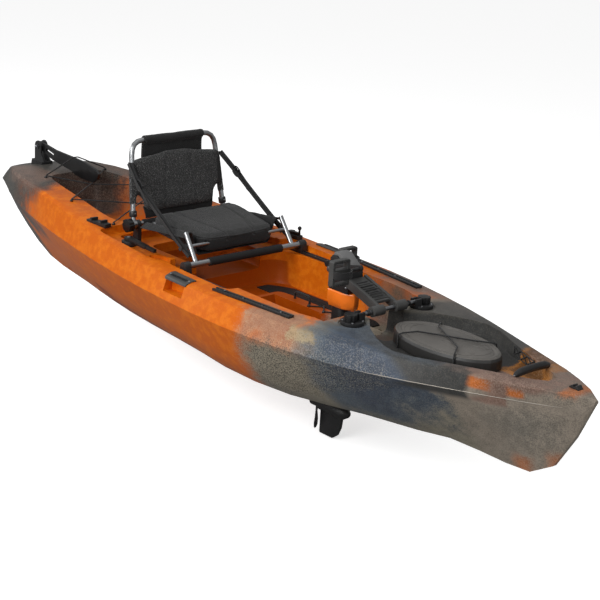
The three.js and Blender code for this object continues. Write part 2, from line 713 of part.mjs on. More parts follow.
function hullLoft(inset, aftShare = -1, foreShare = 1) {
  const inner = hullStationShares.filter((share) => share > aftShare && share < foreShare);
  return loft([aftShare, ...inner, foreShare].map((share) => hullRing(share, inset)));
}

function deckHeightAt(x) {
  const share = (2 * x) / HULL_LENGTH;
  return hullGuides.deckHeight(share) * HULL_DEPTH;
}

// A rounded outline: half the length, half width at each end, and how square its corners are.
function wellOutline({ aft, fore, aftHalf, foreHalf = aftHalf, corner = ROUND_CORNER }) {
  const centre = (aft + fore) / 2;
  const half = (fore - aft) / 2;
  const rounded = (value) => Math.sign(value) * Math.abs(value) ** (2 / corner);
  return Array.from({ length: WELL_POINTS }, (_, i) => {
    const angle = (2 * Math.PI * (i + 1 / 2)) / WELL_POINTS;
    const along = rounded(Math.cos(angle));
    const width = THREE.MathUtils.lerp(aftHalf, foreHalf, (along + 1) / 2);
    return [centre + half * along, width * rounded(Math.sin(angle))];
  });
}

// A column between heights, its outline drawn in at each height.
function column(places, levels) {
  return loft(
    levels.map(([z, inset]) => drawnIn(places, inset).map(([x, y]) => new THREE.Vector3(x, y, z))),
  );
}

// A moulded recess: drafted walls with a filleted foot. Growing it by the wall gives the cut for the hollow.
function well({ places, floor, draft = WELL_DRAFT }, grow) {
  const fillet = Math.min(WELL_FILLET, (HULL_DEPTH - floor) * filletShare);
  const foot = floor - grow;
  return column(places, [
    [foot, draft + fillet - grow],
    [foot + fillet * (1 - Math.SQRT1_2), draft + fillet * (1 - Math.SQRT1_2) - grow],
    [foot + fillet, draft - grow],
    [HULL_DEPTH + OVERRUN, -grow],
  ]);
}

const footwell = {
  places: wellOutline({ aft: FOOTWELL_AFT, fore: FOOTWELL_FORE, aftHalf: FOOTWELL_HALF_WIDTH }),
  floor: FLOOR_HEIGHT,
  draft: FOOTWELL_DRAFT,
};
const seatWells = [
  {
    places: wellOutline({ aft: SEAT_WELL_AFT, fore: FOOTWELL_AFT + OVERRUN, aftHalf: SEAT_WELL_HALF_WIDTH }),
    floor: SEAT_FLOOR_HEIGHT,
  },
  {
    places: wellOutline({
      aft: REAR_LEDGE_AFT, fore: FOOTWELL_AFT + OVERRUN,
      aftHalf: REAR_LEDGE_HALF_WIDTH, corner: SQUARE_CORNER,
    }),
    floor: LEDGE_HEIGHT,
    draft: LEDGE_DRAFT,
  },
  {
    places: wellOutline({
      aft: FOOTWELL_AFT, fore: FRONT_LEDGE_FORE, aftHalf: FRONT_LEDGE_HALF_WIDTH, corner: SQUARE_CORNER,
    }),
    floor: LEDGE_HEIGHT,
    draft: LEDGE_DRAFT,
  },
  {
    places: wellOutline({
      aft: SHELF_AFT, fore: SHELF_FORE, aftHalf: SHELF_HALF_WIDTH, corner: SQUARE_CORNER,
    }),
    floor: SHELF_HEIGHT,
    draft: LEDGE_DRAFT,
  },
];
const bowWellSide = bowWellShares.map(([along, across]) => [
  THREE.MathUtils.lerp(BOW_WELL_AFT, BOW_WELL_FORE, along),
  across * BOW_WELL_HALF_WIDTH,
]);
const endWells = [
  {
    places: wellOutline({
      aft: CHANNEL_AFT, fore: CHANNEL_FORE,
      aftHalf: CHANNEL_AFT_HALF_WIDTH, foreHalf: CHANNEL_FORE_HALF_WIDTH,
    }),
    floor: CHANNEL_FLOOR,
    draft: LEDGE_DRAFT,
  },
  {
    places: wellOutline({
      aft: TANK_AFT, fore: TANK_FORE, aftHalf: TANK_AFT_HALF_WIDTH, foreHalf: TANK_FORE_HALF_WIDTH,
    }),
    floor: TANK_FLOOR,
  },
  {
    places: [...bowWellSide.map(([x, y]) => [x, -y]), ...bowWellSide.slice().reverse()],
    floor: BOW_WELL_FLOOR,
    draft: BOW_WELL_DRAFT,
  },
];

// The drive swings up about its crossbar, so the slot's aft wall is an arc about that bar.
function driveSlot(grow) {
  const swing = Math.hypot(CROSSBAR_X - SKEG_AFT, CROSSBAR_Z - SKEG_BOTTOM) + SLOT_SWING_CLEARANCE + grow;
  const [bottom, top] = [-OVERRUN, CONSOLE_HEIGHT + OVERRUN];
  const arc = Array.from({ length: SLOT_ARC_STEPS + 1 }, (_, i) => {
    const z = THREE.MathUtils.lerp(top, bottom, i / SLOT_ARC_STEPS);
    return [CROSSBAR_X - Math.sqrt(swing ** 2 - (CROSSBAR_Z - z) ** 2), z];
  });
  const shape = outline([[SLOT_FORE + grow, bottom], [SLOT_FORE + grow, top], ...arc]);
  return slab(shape, -SLOT_HALF_WIDTH - grow, SLOT_HALF_WIDTH + grow);
}

function propArch(grow) {
  const radius = PROP_RADIUS + PROP_ARCH_CLEARANCE + grow;
  return rod(radius, PROP_ARCH_LENGTH + 2 * grow, "x", [PROP_X, 0, GEARCASE_Z], BORE_SIDES);
}

// The raised middle of the footwell, with a rounded top edge.
function consoleBody(grow) {
  const places = wellOutline({
    aft: CONSOLE_AFT, fore: FOOTWELL_FORE + OVERRUN, aftHalf: CONSOLE_HALF_WIDTH, corner: CONSOLE_CORNER,
  });
  return column(places, [
    [FLOOR_HEIGHT - OVERRUN, grow - CONSOLE_ROUND],
    [CONSOLE_HEIGHT - CONSOLE_ROUND, grow],
    [CONSOLE_HEIGHT - grow, grow + CONSOLE_ROUND],
  ]);
}

// The two deck lobes that carry the crossbar, reaching aft into the footwell.
function pods(grow) {
  const [x, y] = POD_CENTRE;
  const shape = new THREE.Shape();
  shape.absellipse(x, y, POD_HALF_LENGTH - grow, POD_HALF_WIDTH - grow, 0, 2 * Math.PI);
  const lobe = plate(shape, FLOOR_HEIGHT - OVERRUN, HULL_DEPTH + 2 * OVERRUN);
  return lobe.add(mirrored(lobe));
}

// The pods are dished where the pedals pass over them.
function pedalSweep(grow) {
  const reach = Math.hypot(CRANK_THROW + PEDAL_HALF_THICKNESS + PEDAL_STRAP_REACH, PEDAL_STRAP_HALF_WIDTH);
  const radius = reach + PEDAL_SWEEP_CLEARANCE + grow;
  const length = 2 * (FOOTWELL_HALF_WIDTH - WELL_FILLET - FOOTWELL_DRAFT + grow);
  return rod(radius, length, "y", [CRANK_X, 0, CRANK_Z], FINE_SIDES);
}

function scuppers(grow) {
  const bodies = scupperPlaces.flatMap(([x, y]) =>
    [-1, 1].map((side) => rod(SCUPPER_RADIUS + grow, 2 * HULL_DEPTH, "z", [x, side * y, 0], SCUPPER_SIDES)),
  );
  return join(...bodies);
}

function gripRecesses(grow) {
  const sheer = hullLines((2 * HANDLE_CENTRE) / HULL_LENGTH).wide("sheer");
  const half = HANDLE_LENGTH / 2 - GRIP_RECESS_INSET + grow;
  const recess = boxAt(
    [HANDLE_CENTRE - half, sheer - GRIP_RECESS_DEPTH - grow, HANDLE_LOW - GRIP_RECESS_HEIGHT - grow],
    [HANDLE_CENTRE + half, HULL_BEAM / 2 + OVERRUN, HANDLE_LOW + grow],
  );
  return recess.add(mirrored(recess));
}

// The pocket in the starboard shelf, ahead of the lift lever.
function leverTray(grow) {
  const shape = new THREE.Shape();
  shape.absellipse(...TRAY_CENTRE, TRAY_HALF_LENGTH + grow, TRAY_HALF_WIDTH + grow, 0, 2 * Math.PI);
  return plate(shape, SHELF_HEIGHT - TRAY_DEPTH - grow, HULL_DEPTH + OVERRUN);
}

function receiverSeats(grow) {
  const radius = RECEIVER_RADIUS + RECEIVER_SEAT_MARGIN + grow;
  const seat = disc(radius, [CROSSBAR_X, RECEIVER_Y], RECEIVER_SEAT - grow, HULL_DEPTH, FINE_SIDES);
  return seat.add(mirrored(seat));
}

function hatchEllipse(grow) {
  const shape = new THREE.Shape();
  shape.absellipse(HATCH_CENTRE, 0, HATCH_HALF_LENGTH + grow, HATCH_HALF_WIDTH + grow, 0, 2 * Math.PI);
  return shape;
}

// Everything cut from the outside, grown by the wall for the hollow inside.
function hullCuts(grow) {
  const cockpit = well(footwell, grow).subtract(consoleBody(grow)).subtract(pods(grow));
  return join(
    cockpit,
    ...seatWells.map((row) => well(row, grow)),
    ...endWells.map((row) => well(row, grow)),
    driveSlot(grow),
    propArch(grow),
    pedalSweep(grow),
    scuppers(grow),
    gripRecesses(grow),
    leverTray(grow),
    receiverSeats(grow),
  );
}

function makeHull() {
  const coaming = plate(
    hatchEllipse(COAMING_WALL), BOW_WELL_FLOOR - HULL_WALL, BOW_WELL_FLOOR + COAMING_HEIGHT,
  );
  const hole = plate(hatchEllipse(0), BOW_WELL_FLOOR - OVERRUN, BOW_WELL_FLOOR + OVERRUN);
  const hollow = hullLoft(HULL_WALL, INNER_AFT_SHARE, INNER_FORE_SHARE).subtract(hullCuts(HULL_WALL));
  return hullLoft(0).subtract(hullCuts(0)).add(coaming).subtract(hollow).subtract(hole);
}

// The hull's outside grown by the fit gap: cutting with it seats a fitting on the deck.
const deckSkin = hullLoft(-FIT_GAP);

function onDeck(body) {
  return body.subtract(deckSkin);
}

// Rails, pads and small deck fittings

// A channel rail with a groove along its top.
function rail([from, to], width, thickness, top) {
  const grooveRun = [[...from, top[0] + OVERRUN], [...to, top[1] + OVERRUN]];
  const groove = strip(...grooveRun, TRACK_GROOVE, OVERRUN + TRACK_GROOVE_DEPTH);
  return strip([...from, top[0]], [...to, top[1]], width, thickness).subtract(groove);
}

function gearTrack() {
  const tops = GEAR_TRACK.map(([x]) => deckHeightAt(x) + GEAR_TRACK_RISE);
  return onDeck(rail(GEAR_TRACK, GEAR_TRACK_WIDTH, 3 * GEAR_TRACK_RISE, tops));
}

function seatTrack() {
  const top = LEDGE_HEIGHT + FIT_GAP + SEAT_TRACK_HEIGHT;
  return rail(SEAT_TRACK, SEAT_TRACK_WIDTH, SEAT_TRACK_HEIGHT, [top, top]);
}

// A pad moulded over the sheer, above the grip recess.
function sideHandle() {
  const block = boxAt(
    [HANDLE_CENTRE - HANDLE_LENGTH / 2, HANDLE_INNER, HANDLE_LOW],
    [HANDLE_CENTRE + HANDLE_LENGTH / 2, HULL_BEAM, HULL_DEPTH],
  );
  return onDeck(block.intersect(hullLoft(-HANDLE_THICKNESS)));
}

function floorPad() {
  const places = padPlaces.map(([x, y]) => [x, y]);
  const bottom = FLOOR_HEIGHT + FIT_GAP;
  const hole = disc(PAD_HOLE_RADIUS, PAD_HOLE, FLOOR_HEIGHT, FLOOR_HEIGHT + OVERRUN);
  return plate(outline(places), bottom, bottom + PAD_THICKNESS).subtract(hole);
}

function grabLoop() {
  const foot = CONSOLE_HEIGHT + FIT_GAP;
  const top = foot + LOOP_RISE;
  const corners = [
    [LOOP_AFT, LOOP_Y, foot], [LOOP_AFT, LOOP_Y, top], [LOOP_FORE, LOOP_Y, top], [LOOP_FORE, LOOP_Y, foot],
  ];
  return tube(bent(corners, LOOP_RISE), LOOP_RADIUS);
}

function consoleBungee() {
  const height = CONSOLE_HEIGHT + FIT_GAP + CORD_RADIUS;
  const corners = Array.from({ length: CONSOLE_CORD_TURNS + 1 }, (_, i) => [
    THREE.MathUtils.lerp(...CONSOLE_CORD_X, i / CONSOLE_CORD_TURNS),
    CONSOLE_CORD_Y[i % 2],
    height,
  ]);
  return tube(corners, CORD_RADIUS, CORD_SIDES);
}

// The cord laced over the tank well: one span over the stowed blade, the others crossing under it.
function tankBungee() {
  const eyelet = ([x, y]) => [x, y, deckHeightAt(x) + TANK_CORD_RISE];
  const [aft, middle, fore] = TANK_EYELETS;
  const other = ([x, y]) => [x, -y];
  const dip = [[aft[0] + BLADE_DIP_FORWARD, 0, BLADE_DIP_HEIGHT]];
  const peak = [1, -1].map((side) => [aft[0] - CORD_RADIUS, side * 2 * CORD_RADIUS, BLADE_PEAK_HEIGHT]);
  const cord = (from, to, between = []) => {
    return tube([eyelet(from), ...between, eyelet(to)], CORD_RADIUS, CORD_SIDES);
  };
  const pegs = TANK_EYELETS.flatMap((place) => [place, other(place)]).map(([x, y]) =>
    rod(TANK_PEG_RADIUS, 2 * TANK_CORD_RISE, "z", [x, y, deckHeightAt(x) + CORD_RADIUS], CORD_SIDES));
  return join(
    cord(aft, other(aft), peak),
    cord(aft, other(middle), dip),
    cord(other(aft), middle, dip),
    cord(middle, other(fore)),
    cord(other(middle), fore),
    ...pegs.map(onDeck),
  );
}

function paddleClip() {
  const [from, to] = CLIP_PLACES.map(([x, inset]) => {
    return [x, inset - hullLines(x / HALF_LENGTH).wide("sheer")];
  });
  const along = (share) => [0, 1].map((k) => THREE.MathUtils.lerp(from[k], to[k], share));
  const top = deckHeightAt(from[0]) + CLIP_RISE;
  const base = strip([...from, top], [...to, top], CLIP_WIDTH, OVERRUN);
  const jaws = clipJawShares.map((share) => {
    const [x, y] = along(share);
    return boxAt(
      [x - CLIP_JAW / 2, y - CLIP_WIDTH / 2, top - CLIP_JAW],
      [x + CLIP_JAW / 2, y + CLIP_WIDTH / 2, top + CLIP_JAW_RISE],
    );
  });
  return onDeck(join(base, ...jaws));
}

// A flat strap arched across the deck, carried along X.
function bowHandle() {
  const foot = deckHeightAt(BOW_HANDLE_X) - BOW_HANDLE_THICKNESS;
  const rise = BOW_HANDLE_RISE + BOW_HANDLE_THICKNESS;
  const arch = (grow) => {
    const places = Array.from({ length: ARCH_STEPS + 1 }, (_, i) => {
      const angle = (Math.PI * i) / ARCH_STEPS;
      return [(BOW_HANDLE_HALF_SPAN + grow) * Math.cos(angle), foot + (rise + grow) * Math.sin(angle)];
    });
    const options = { depth: 2 * BOW_HANDLE_HALF_WIDTH, bevelEnabled: false };
    const geometry = new THREE.ExtrudeGeometry(outline(places), options);
    geometry.rotateX(Math.PI / 2).rotateZ(Math.PI / 2);
    geometry.translate(BOW_HANDLE_X - BOW_HANDLE_HALF_WIDTH, 0, 0);
    return solid(geometry);
  };
  return onDeck(arch(0).subtract(arch(-BOW_HANDLE_THICKNESS)));
}

function bowFitting() {
  const [x, half] = [BOW_FITTING_X, BOW_FITTING_HALF_LENGTH];
  const base = deckHeightAt(x);
  const top = base + BOW_FITTING_RISE;
  const shape = outline([
    [x - half, base - OVERRUN / 2], [x + half, base - OVERRUN / 2], [x + half, base + FIT_GAP],
    [x + half / 2, top], [x - half / 2, top], [x - half, base + BOW_FITTING_HOLE],
  ]);
  const body = slab(shape, -BOW_FITTING_HALF_WIDTH, BOW_FITTING_HALF_WIDTH);
  const hole = rod(BOW_FITTING_HOLE, OVERRUN, "y", [x, 0, base + 2 * BOW_FITTING_HOLE], TUBE_SIDES);
  return onDeck(body.subtract(hole));
}

// A cord net against the port wall of the bow well, whole in its own plane.
function bowNet() {
  const [aft, fore] = BOW_NET_PLACES;
  const at = (share, height) => [
    THREE.MathUtils.lerp(aft[0], fore[0], share), THREE.MathUtils.lerp(aft[1], fore[1], share), height,
  ];
  const [low, high] = BOW_NET_HEIGHTS;
  const ends = [[0, high], [1, high], [1, low], [0, low]].map(([share, height]) => at(share, height));
  const cord = (from, to) => tube([from, to], BOW_NET_RADIUS, BOW_NET_SIDES);
  const edges = ends.map((end, i) => cord(end, ends[(i + 1) % ends.length]));
  const crossings = Array.from({ length: BOW_NET_CROSSINGS }, (_, i) => [
    cord(at(i / BOW_NET_CROSSINGS, low), at((i + 1) / BOW_NET_CROSSINGS, high)),
    cord(at(i / BOW_NET_CROSSINGS, high), at((i + 1) / BOW_NET_CROSSINGS, low)),
  ]).flat();
  return join(...edges, ...crossings);
}

// Hatch

// Rings of the lid's ellipse, each a height and how far it is drawn in.
function lidBody(levels) {
  const ellipse = Array.from({ length: LID_POINTS }, (_, i) => {
    const angle = (2 * Math.PI * i) / LID_POINTS;
    return [HATCH_CENTRE + LID_HALF_LENGTH * Math.cos(angle), LID_HALF_WIDTH * Math.sin(angle)];
  });
  return column(ellipse, levels);
}

function hatchLid() {
  const seat = BOW_WELL_FLOOR + COAMING_HEIGHT + FIT_GAP;
  const [edge, groove, panel] = lidInsets;
  const outside = lidBody([
    [LID_SKIRT_BOTTOM, 0], [LID_SHOULDER, 0], [LID_TOP - LID_GROOVE, edge / 2], [LID_TOP, edge],
    [LID_TOP, groove], [LID_TOP - LID_GROOVE, (groove + panel) / 2], [LID_TOP, panel], [LID_CROWN, 2 * panel],
  ]);
  return outside.subtract(lidBody([[LID_SKIRT_BOTTOM - OVERRUN, LID_SKIRT], [seat, LID_SKIRT]]));
}

// Two cords crossed over the lid and held down at its four sides.
function hatchBungee() {
  const out = LID_LIFT_GAP + CORD_RADIUS;
  const places = [
    [out, BOW_WELL_FLOOR + FIT_GAP], [out, LID_TOP],
    [-lidInsets[0], LID_TOP + out], [-LID_HALF_WIDTH / 2, LID_CROWN + out],
  ];
  const run = (angle) => places.map(([grow, z]) => [
    HATCH_CENTRE + (LID_HALF_LENGTH + grow) * Math.cos(angle), (LID_HALF_WIDTH + grow) * Math.sin(angle), z,
  ]);
  const cord = (angle) => tube([...run(angle), ...run(angle + Math.PI).reverse()], CORD_RADIUS, CORD_SIDES);
  return join(cord(HATCH_CORD_ANGLE), cord(-HATCH_CORD_ANGLE));
}

// Receivers

function receiverBase() {
  const [inner, outer] = RECEIVER_BLOCK;
  const seatAt = [CROSSBAR_X, RECEIVER_Y];
  const flange = disc(RECEIVER_RADIUS, seatAt, RECEIVER_SEAT + FIT_GAP, RECEIVER_TOP, FINE_SIDES);
  const half = RECEIVER_BLOCK_HALF_LENGTH;
  const block = boxAt(
    [CROSSBAR_X - half, inner, RECEIVER_SEAT + 2 * FIT_GAP], [CROSSBAR_X + half, outer, RECEIVER_BLOCK_TOP],
  );
  const gap = CROSSBAR_RADIUS + FIT_GAP;
  const notch = boxAt([CROSSBAR_X - gap, 0, CROSSBAR_Z], [CROSSBAR_X + gap, outer + OVERRUN, HULL_DEPTH]);
  const cradle = rod(gap, 2 * outer + 2 * OVERRUN, "y", [CROSSBAR_X, 0, CROSSBAR_Z], BORE_SIDES);
  const inboard = boxAt([0, 0, 0], [HULL_LENGTH, CROSSBAR_HALF_LENGTH + FIT_GAP, HULL_DEPTH]);
  return flange.add(block).subtract(notch.intersect(inboard))
    .subtract(cradle.intersect(boxAt([0, 0, 0], [HULL_LENGTH, CROSSBAR_HALF_LENGTH + FIT_GAP, HULL_DEPTH])));
}

// A round grip with finger scallops round its rim.
function scalloped(body, centre, radius, scallop, count, axis, length) {
  const cuts = Array.from({ length: count }, (_, i) => {
    const angle = (2 * Math.PI * (i + 1 / 2)) / count;
    const [a, b] = [Math.cos(angle), Math.sin(angle)].map((value) => value * (radius + scallop / 2));
    const out = axis === "z" ? [a, b, 0] : [a, 0, b];
    const place = centre.map((value, part) => value + out[part]);
    return rod(scallop, length, axis, place, TUBE_SIDES);
  });
  return body.subtract(join(...cuts));
}

function receiverKnob() {
  const centre = [CROSSBAR_X, RECEIVER_KNOB_Y];
  const body = disc(RECEIVER_KNOB_RADIUS, centre, RECEIVER_TOP + FIT_GAP, RECEIVER_KNOB_TOP);
  return scalloped(
    body, [...centre, RECEIVER_TOP], RECEIVER_KNOB_RADIUS, RECEIVER_SCALLOP_RADIUS,
    RECEIVER_KNOB_SCALLOPS, "z", 2 * OVERRUN,
  );
}

// Drive

function driveLeg() {
  const levels = legShares.map(([height, aft, fore, half]) => {
    const z = THREE.MathUtils.lerp(GEARCASE_Z, LEG_TOP, height);
    const places = wellOutline({
      aft: THREE.MathUtils.lerp(GEARCASE_AFT, GEARCASE_FORE, aft),
      fore: THREE.MathUtils.lerp(GEARCASE_AFT, GEARCASE_FORE, fore),
      aftHalf: half * SLOT_HALF_WIDTH,
      corner: LEG_CORNER,
    });
    return places.map(([x, y]) => new THREE.Vector3(x, y, z));
  });
  const profile = [
    [0, GEARCASE_AFT], [GEARCASE_RADIUS, GEARCASE_AFT], [GEARCASE_RADIUS, GEARCASE_FORE - GEARCASE_TAPER],
    [GEARCASE_RADIUS / 2, GEARCASE_FORE - GEARCASE_TAPER / 4], [0, GEARCASE_FORE],
  ];
  const gearcase = new THREE.LatheGeometry(profile.map(([r, x]) => new THREE.Vector2(r, x)), DISC_SIDES);
  gearcase.rotateZ(-Math.PI / 2);
  gearcase.translate(0, 0, GEARCASE_Z);
  const skegLength = GEARCASE_FORE - SKEG_AFT;
  const skeg = skegShares.map(([along, down]) => [
    SKEG_AFT + along * skegLength, THREE.MathUtils.lerp(GEARCASE_Z, SKEG_BOTTOM, down),
  ]);
  return join(loft(levels), solid(gearcase), slab(outline(skeg), -SKEG_HALF_THICKNESS, SKEG_HALF_THICKNESS));
}

// The orange collar: square aft, with a low pointed nose forward.
function driveCollar() {
  const places = [
    [COLLAR_AFT, -COLLAR_HALF_WIDTH], [COLLAR_SHOULDER, -COLLAR_HALF_WIDTH],
    [COLLAR_NOSE, -COLLAR_NOSE_HALF_WIDTH], [COLLAR_NOSE, COLLAR_NOSE_HALF_WIDTH],
    [COLLAR_SHOULDER, COLLAR_HALF_WIDTH], [COLLAR_AFT, COLLAR_HALF_WIDTH],
  ];
  const [bottom, top] = [LEG_TOP + FIT_GAP, COLLAR_TOP];
  return column(places, [
    [bottom, COLLAR_ROUND], [bottom + COLLAR_ROUND, 0], [top - COLLAR_ROUND / 2, 0], [top, COLLAR_ROUND / 2],
  ]);
}

// An outline in shares of the drive head's length and height.
function headOutline(shares) {
  return outline(
    shares.map(([along, up]) => [
      THREE.MathUtils.lerp(...HEAD_LENGTH, along), THREE.MathUtils.lerp(COLLAR_TOP + FIT_GAP, HEAD_TOP, up),
    ]),
  );
}

function axleBore(grow = FIT_GAP) {
  return rod(CRANK_AXLE_RADIUS + grow, 2 * CRANK_AXLE_END, "y", [CRANK_X, 0, CRANK_Z], BORE_SIDES);
}

function driveHead() {
  const body = slab(headOutline(headShares), -HEAD_HALF_WIDTH, HEAD_HALF_WIDTH);
  return body.subtract(axleBore());
}

function headCover() {
  return slab(headOutline(coverShares), -COVER_HALF_WIDTH, COVER_HALF_WIDTH);
}

function driveYoke() {
  const at = ([along, up]) => [
    THREE.MathUtils.lerp(YOKE_AFT, CROSSBAR_X, along), THREE.MathUtils.lerp(CROSSBAR_Z, YOKE_TOP, up),
  ];
  const side = outline(yokeShares.map(at));
  const deck = outline(yokeDeckShares.map(at));
  const inner = YOKE_HALF_WIDTH - YOKE_RAIL;
  const arm = join(
    slab(side, inner, YOKE_HALF_WIDTH),
    rod(
      YOKE_HUB_RADIUS, YOKE_HUB_OUTER - YOKE_HUB_INNER, "y",
      [CROSSBAR_X, (YOKE_HUB_OUTER + YOKE_HUB_INNER) / 2, CROSSBAR_Z],
    ),
  );
  const ribs = Array.from({ length: YOKE_RIBS }, (_, i) => {
    const [x, z] = at(yokeRibShares.map((pair) => THREE.MathUtils.lerp(...pair, i / (YOKE_RIBS - 1))));
    return rod(YOKE_RIB_RADIUS, 2 * inner + YOKE_RAIL, "y", [x, 0, z], TUBE_SIDES);
  });
  const barMiddle = [CROSSBAR_X, 0, CROSSBAR_Z];
  const bore = rod(CROSSBAR_RADIUS + FIT_GAP, 2 * CROSSBAR_HALF_LENGTH, "y", barMiddle, BORE_SIDES);
  return join(arm, mirrored(arm), slab(deck, -inner, inner), ...ribs).subtract(bore);
}

function crossbar() {
  return rod(CROSSBAR_RADIUS, 2 * CROSSBAR_HALF_LENGTH, "y", [CROSSBAR_X, 0, CROSSBAR_Z], BORE_SIDES);
}

// Where a crank's pedal turns. The port arm points aft and down, the starboard arm forward and up.
function pedalCentre(side) {
  return [
    CRANK_X - side * CRANK_THROW * Math.cos(CRANK_REST_ANGLE),
    CRANK_Z - side * CRANK_THROW * Math.sin(CRANK_REST_ANGLE),
  ];
}

function crankArm(side) {
  const [x, z] = pedalCentre(side);
  const along = new THREE.Vector2(x - CRANK_X, z - CRANK_Z).normalize();
  const across = [-along.y, along.x];
  const edge = (place, half) => [place[0] + across[0] * half, place[1] + across[1] * half];
  const shape = outline([
    edge([CRANK_X, CRANK_Z], CRANK_BOSS_RADIUS), edge([x, z], CRANK_TIP_RADIUS),
    edge([x, z], -CRANK_TIP_RADIUS), edge([CRANK_X, CRANK_Z], -CRANK_BOSS_RADIUS),
  ]);
  const outer = CRANK_ARM_INNER + CRANK_ARM_THICKNESS;
  const middle = (CRANK_ARM_INNER + outer) / 2;
  const spindleStart = CRANK_ARM_INNER + FIT_GAP;
  const body = join(
    slab(shape, CRANK_ARM_INNER, outer),
    rod(CRANK_BOSS_RADIUS, CRANK_ARM_THICKNESS, "y", [CRANK_X, middle, CRANK_Z]),
    rod(CRANK_TIP_RADIUS, CRANK_ARM_THICKNESS, "y", [x, middle, z]),
    rod(
      SPINDLE_RADIUS, SPINDLE_END - spindleStart, "y",
      [x, (SPINDLE_END + spindleStart) / 2, z], BORE_SIDES,
    ),
  );
  return side > 0 ? body : mirrored(body);
}

function crankAxle() {
  return rod(CRANK_AXLE_RADIUS, 2 * CRANK_AXLE_END, "y", [CRANK_X, 0, CRANK_Z], BORE_SIDES);
}

// A framed platform facing the bow, with two windows beside the spindle tube.
function pedal(side) {
  const [x, z] = pedalCentre(side);
  const [depth, half] = [PEDAL_HALF_THICKNESS, PEDAL_HALF_HEIGHT];
  const corner = PEDAL_RIM / 2;
  const face = column(
    [
      [z - half + corner, PEDAL_INNER], [z + half - corner, PEDAL_INNER], [z + half, PEDAL_INNER + corner],
      [z + half, PEDAL_OUTER - corner], [z + half - corner, PEDAL_OUTER], [z - half + corner, PEDAL_OUTER],
      [z - half, PEDAL_OUTER - corner], [z - half, PEDAL_INNER + corner],
    ],
    [[-depth, 0], [depth, 0]],
  );
  // The plan (Z, Y) with height X becomes (X, Y, Z) by swapping the first and last axes.
  const frame = face.rotate([0, -QUARTER_TURN, 0]).mirror([1, 0, 0]).translate([x, 0, 0]);
  const windows = [-1, 1].map((up) => {
    const [low, high] = [z + up * (CRANK_TIP_RADIUS + 2), z + up * (half - PEDAL_RIM)].sort((a, b) => a - b);
    return boxAt([x - OVERRUN, PEDAL_INNER + PEDAL_RIM, low], [x + OVERRUN, PEDAL_OUTER - PEDAL_RIM, high]);
  });
  const bore = rod(SPINDLE_RADIUS + FIT_GAP, 2 * SPINDLE_END + 2 * FIT_GAP, "y", [x, 0, z], BORE_SIDES);
  const body = frame.subtract(join(...windows)).subtract(bore);
  return side > 0 ? body : mirrored(body);
}

// The band over the foot, from one side of the pedal to the other.
function pedalStrap(side) {
  const [x, z] = pedalCentre(side);
  const front = x + PEDAL_HALF_THICKNESS + FIT_GAP;
  const middle = (PEDAL_INNER + PEDAL_OUTER) / 2;
  const arch = (grow) => {
    const places = Array.from({ length: ARCH_STEPS + 1 }, (_, i) => {
      const angle = (Math.PI * i) / ARCH_STEPS;
      const across = ((PEDAL_OUTER - PEDAL_INNER) / 2 + grow) * Math.cos(angle);
      return [front + (PEDAL_STRAP_REACH + grow) * Math.sin(angle), middle - across];
    });
    return plate(outline(places), z - PEDAL_STRAP_HALF_WIDTH, z + PEDAL_STRAP_HALF_WIDTH);
  };
  const body = arch(0).subtract(arch(-PEDAL_STRAP_THICKNESS));
  return side > 0 ? body : mirrored(body);
}

// A blade as sections along its radius, each twisted to its own pitch.
function propellerBlade() {
  const rings = bladeShares.map(([along, chord, thick, pitch]) => {
    const z = along * PROP_RADIUS;
    const [half, thin] = [(chord * PROP_RADIUS) / 2, (thick * PROP_RADIUS) / 2];
    const turn = pitch * (Math.PI / 2);
    const section = foilShares.map(([a, b]) => [a * half, b * thin]);
    return section.map(([a, b]) => new THREE.Vector3(
      PROP_X + a * Math.sin(turn) - b * Math.cos(turn),
      a * Math.cos(turn) + b * Math.sin(turn),
      GEARCASE_Z + z,
    ));
  });
  return loft(rings);
}

function propeller() {
  const fore = GEARCASE_AFT - FIT_GAP;
  const profile = [
    [0, PROP_HUB_AFT - PROP_HUB_TAIL], [PROP_HUB_RADIUS / 2, PROP_HUB_AFT - PROP_HUB_TAIL / 2],
    [PROP_HUB_RADIUS, PROP_HUB_AFT],
    [PROP_HUB_RADIUS, fore], [0, fore],
  ];
  const hub = new THREE.LatheGeometry(profile.map(([r, x]) => new THREE.Vector2(r, x)), DISC_SIDES);
  hub.rotateZ(-Math.PI / 2);
  hub.translate(0, 0, GEARCASE_Z);
  const blade = propellerBlade();
  const onAxis = blade.translate([0, 0, -GEARCASE_Z]);
  const opposite = onAxis.rotate([2 * QUARTER_TURN, 0, 0]).translate([0, 0, GEARCASE_Z]);
  return join(solid(hub), blade, opposite);
}

// Rudder

function rudderBracket() {
  const half = RUDDER_SEAT_HALF_LENGTH;
  return onDeck(boxAt(
    [RUDDER_STEER_X - half, -RUDDER_SEAT_HALF_WIDTH, RUDDER_SEAT_TOP - OVERRUN / 2],
    [RUDDER_STEER_X + half, RUDDER_SEAT_HALF_WIDTH, RUDDER_SEAT_TOP],
  ));
}

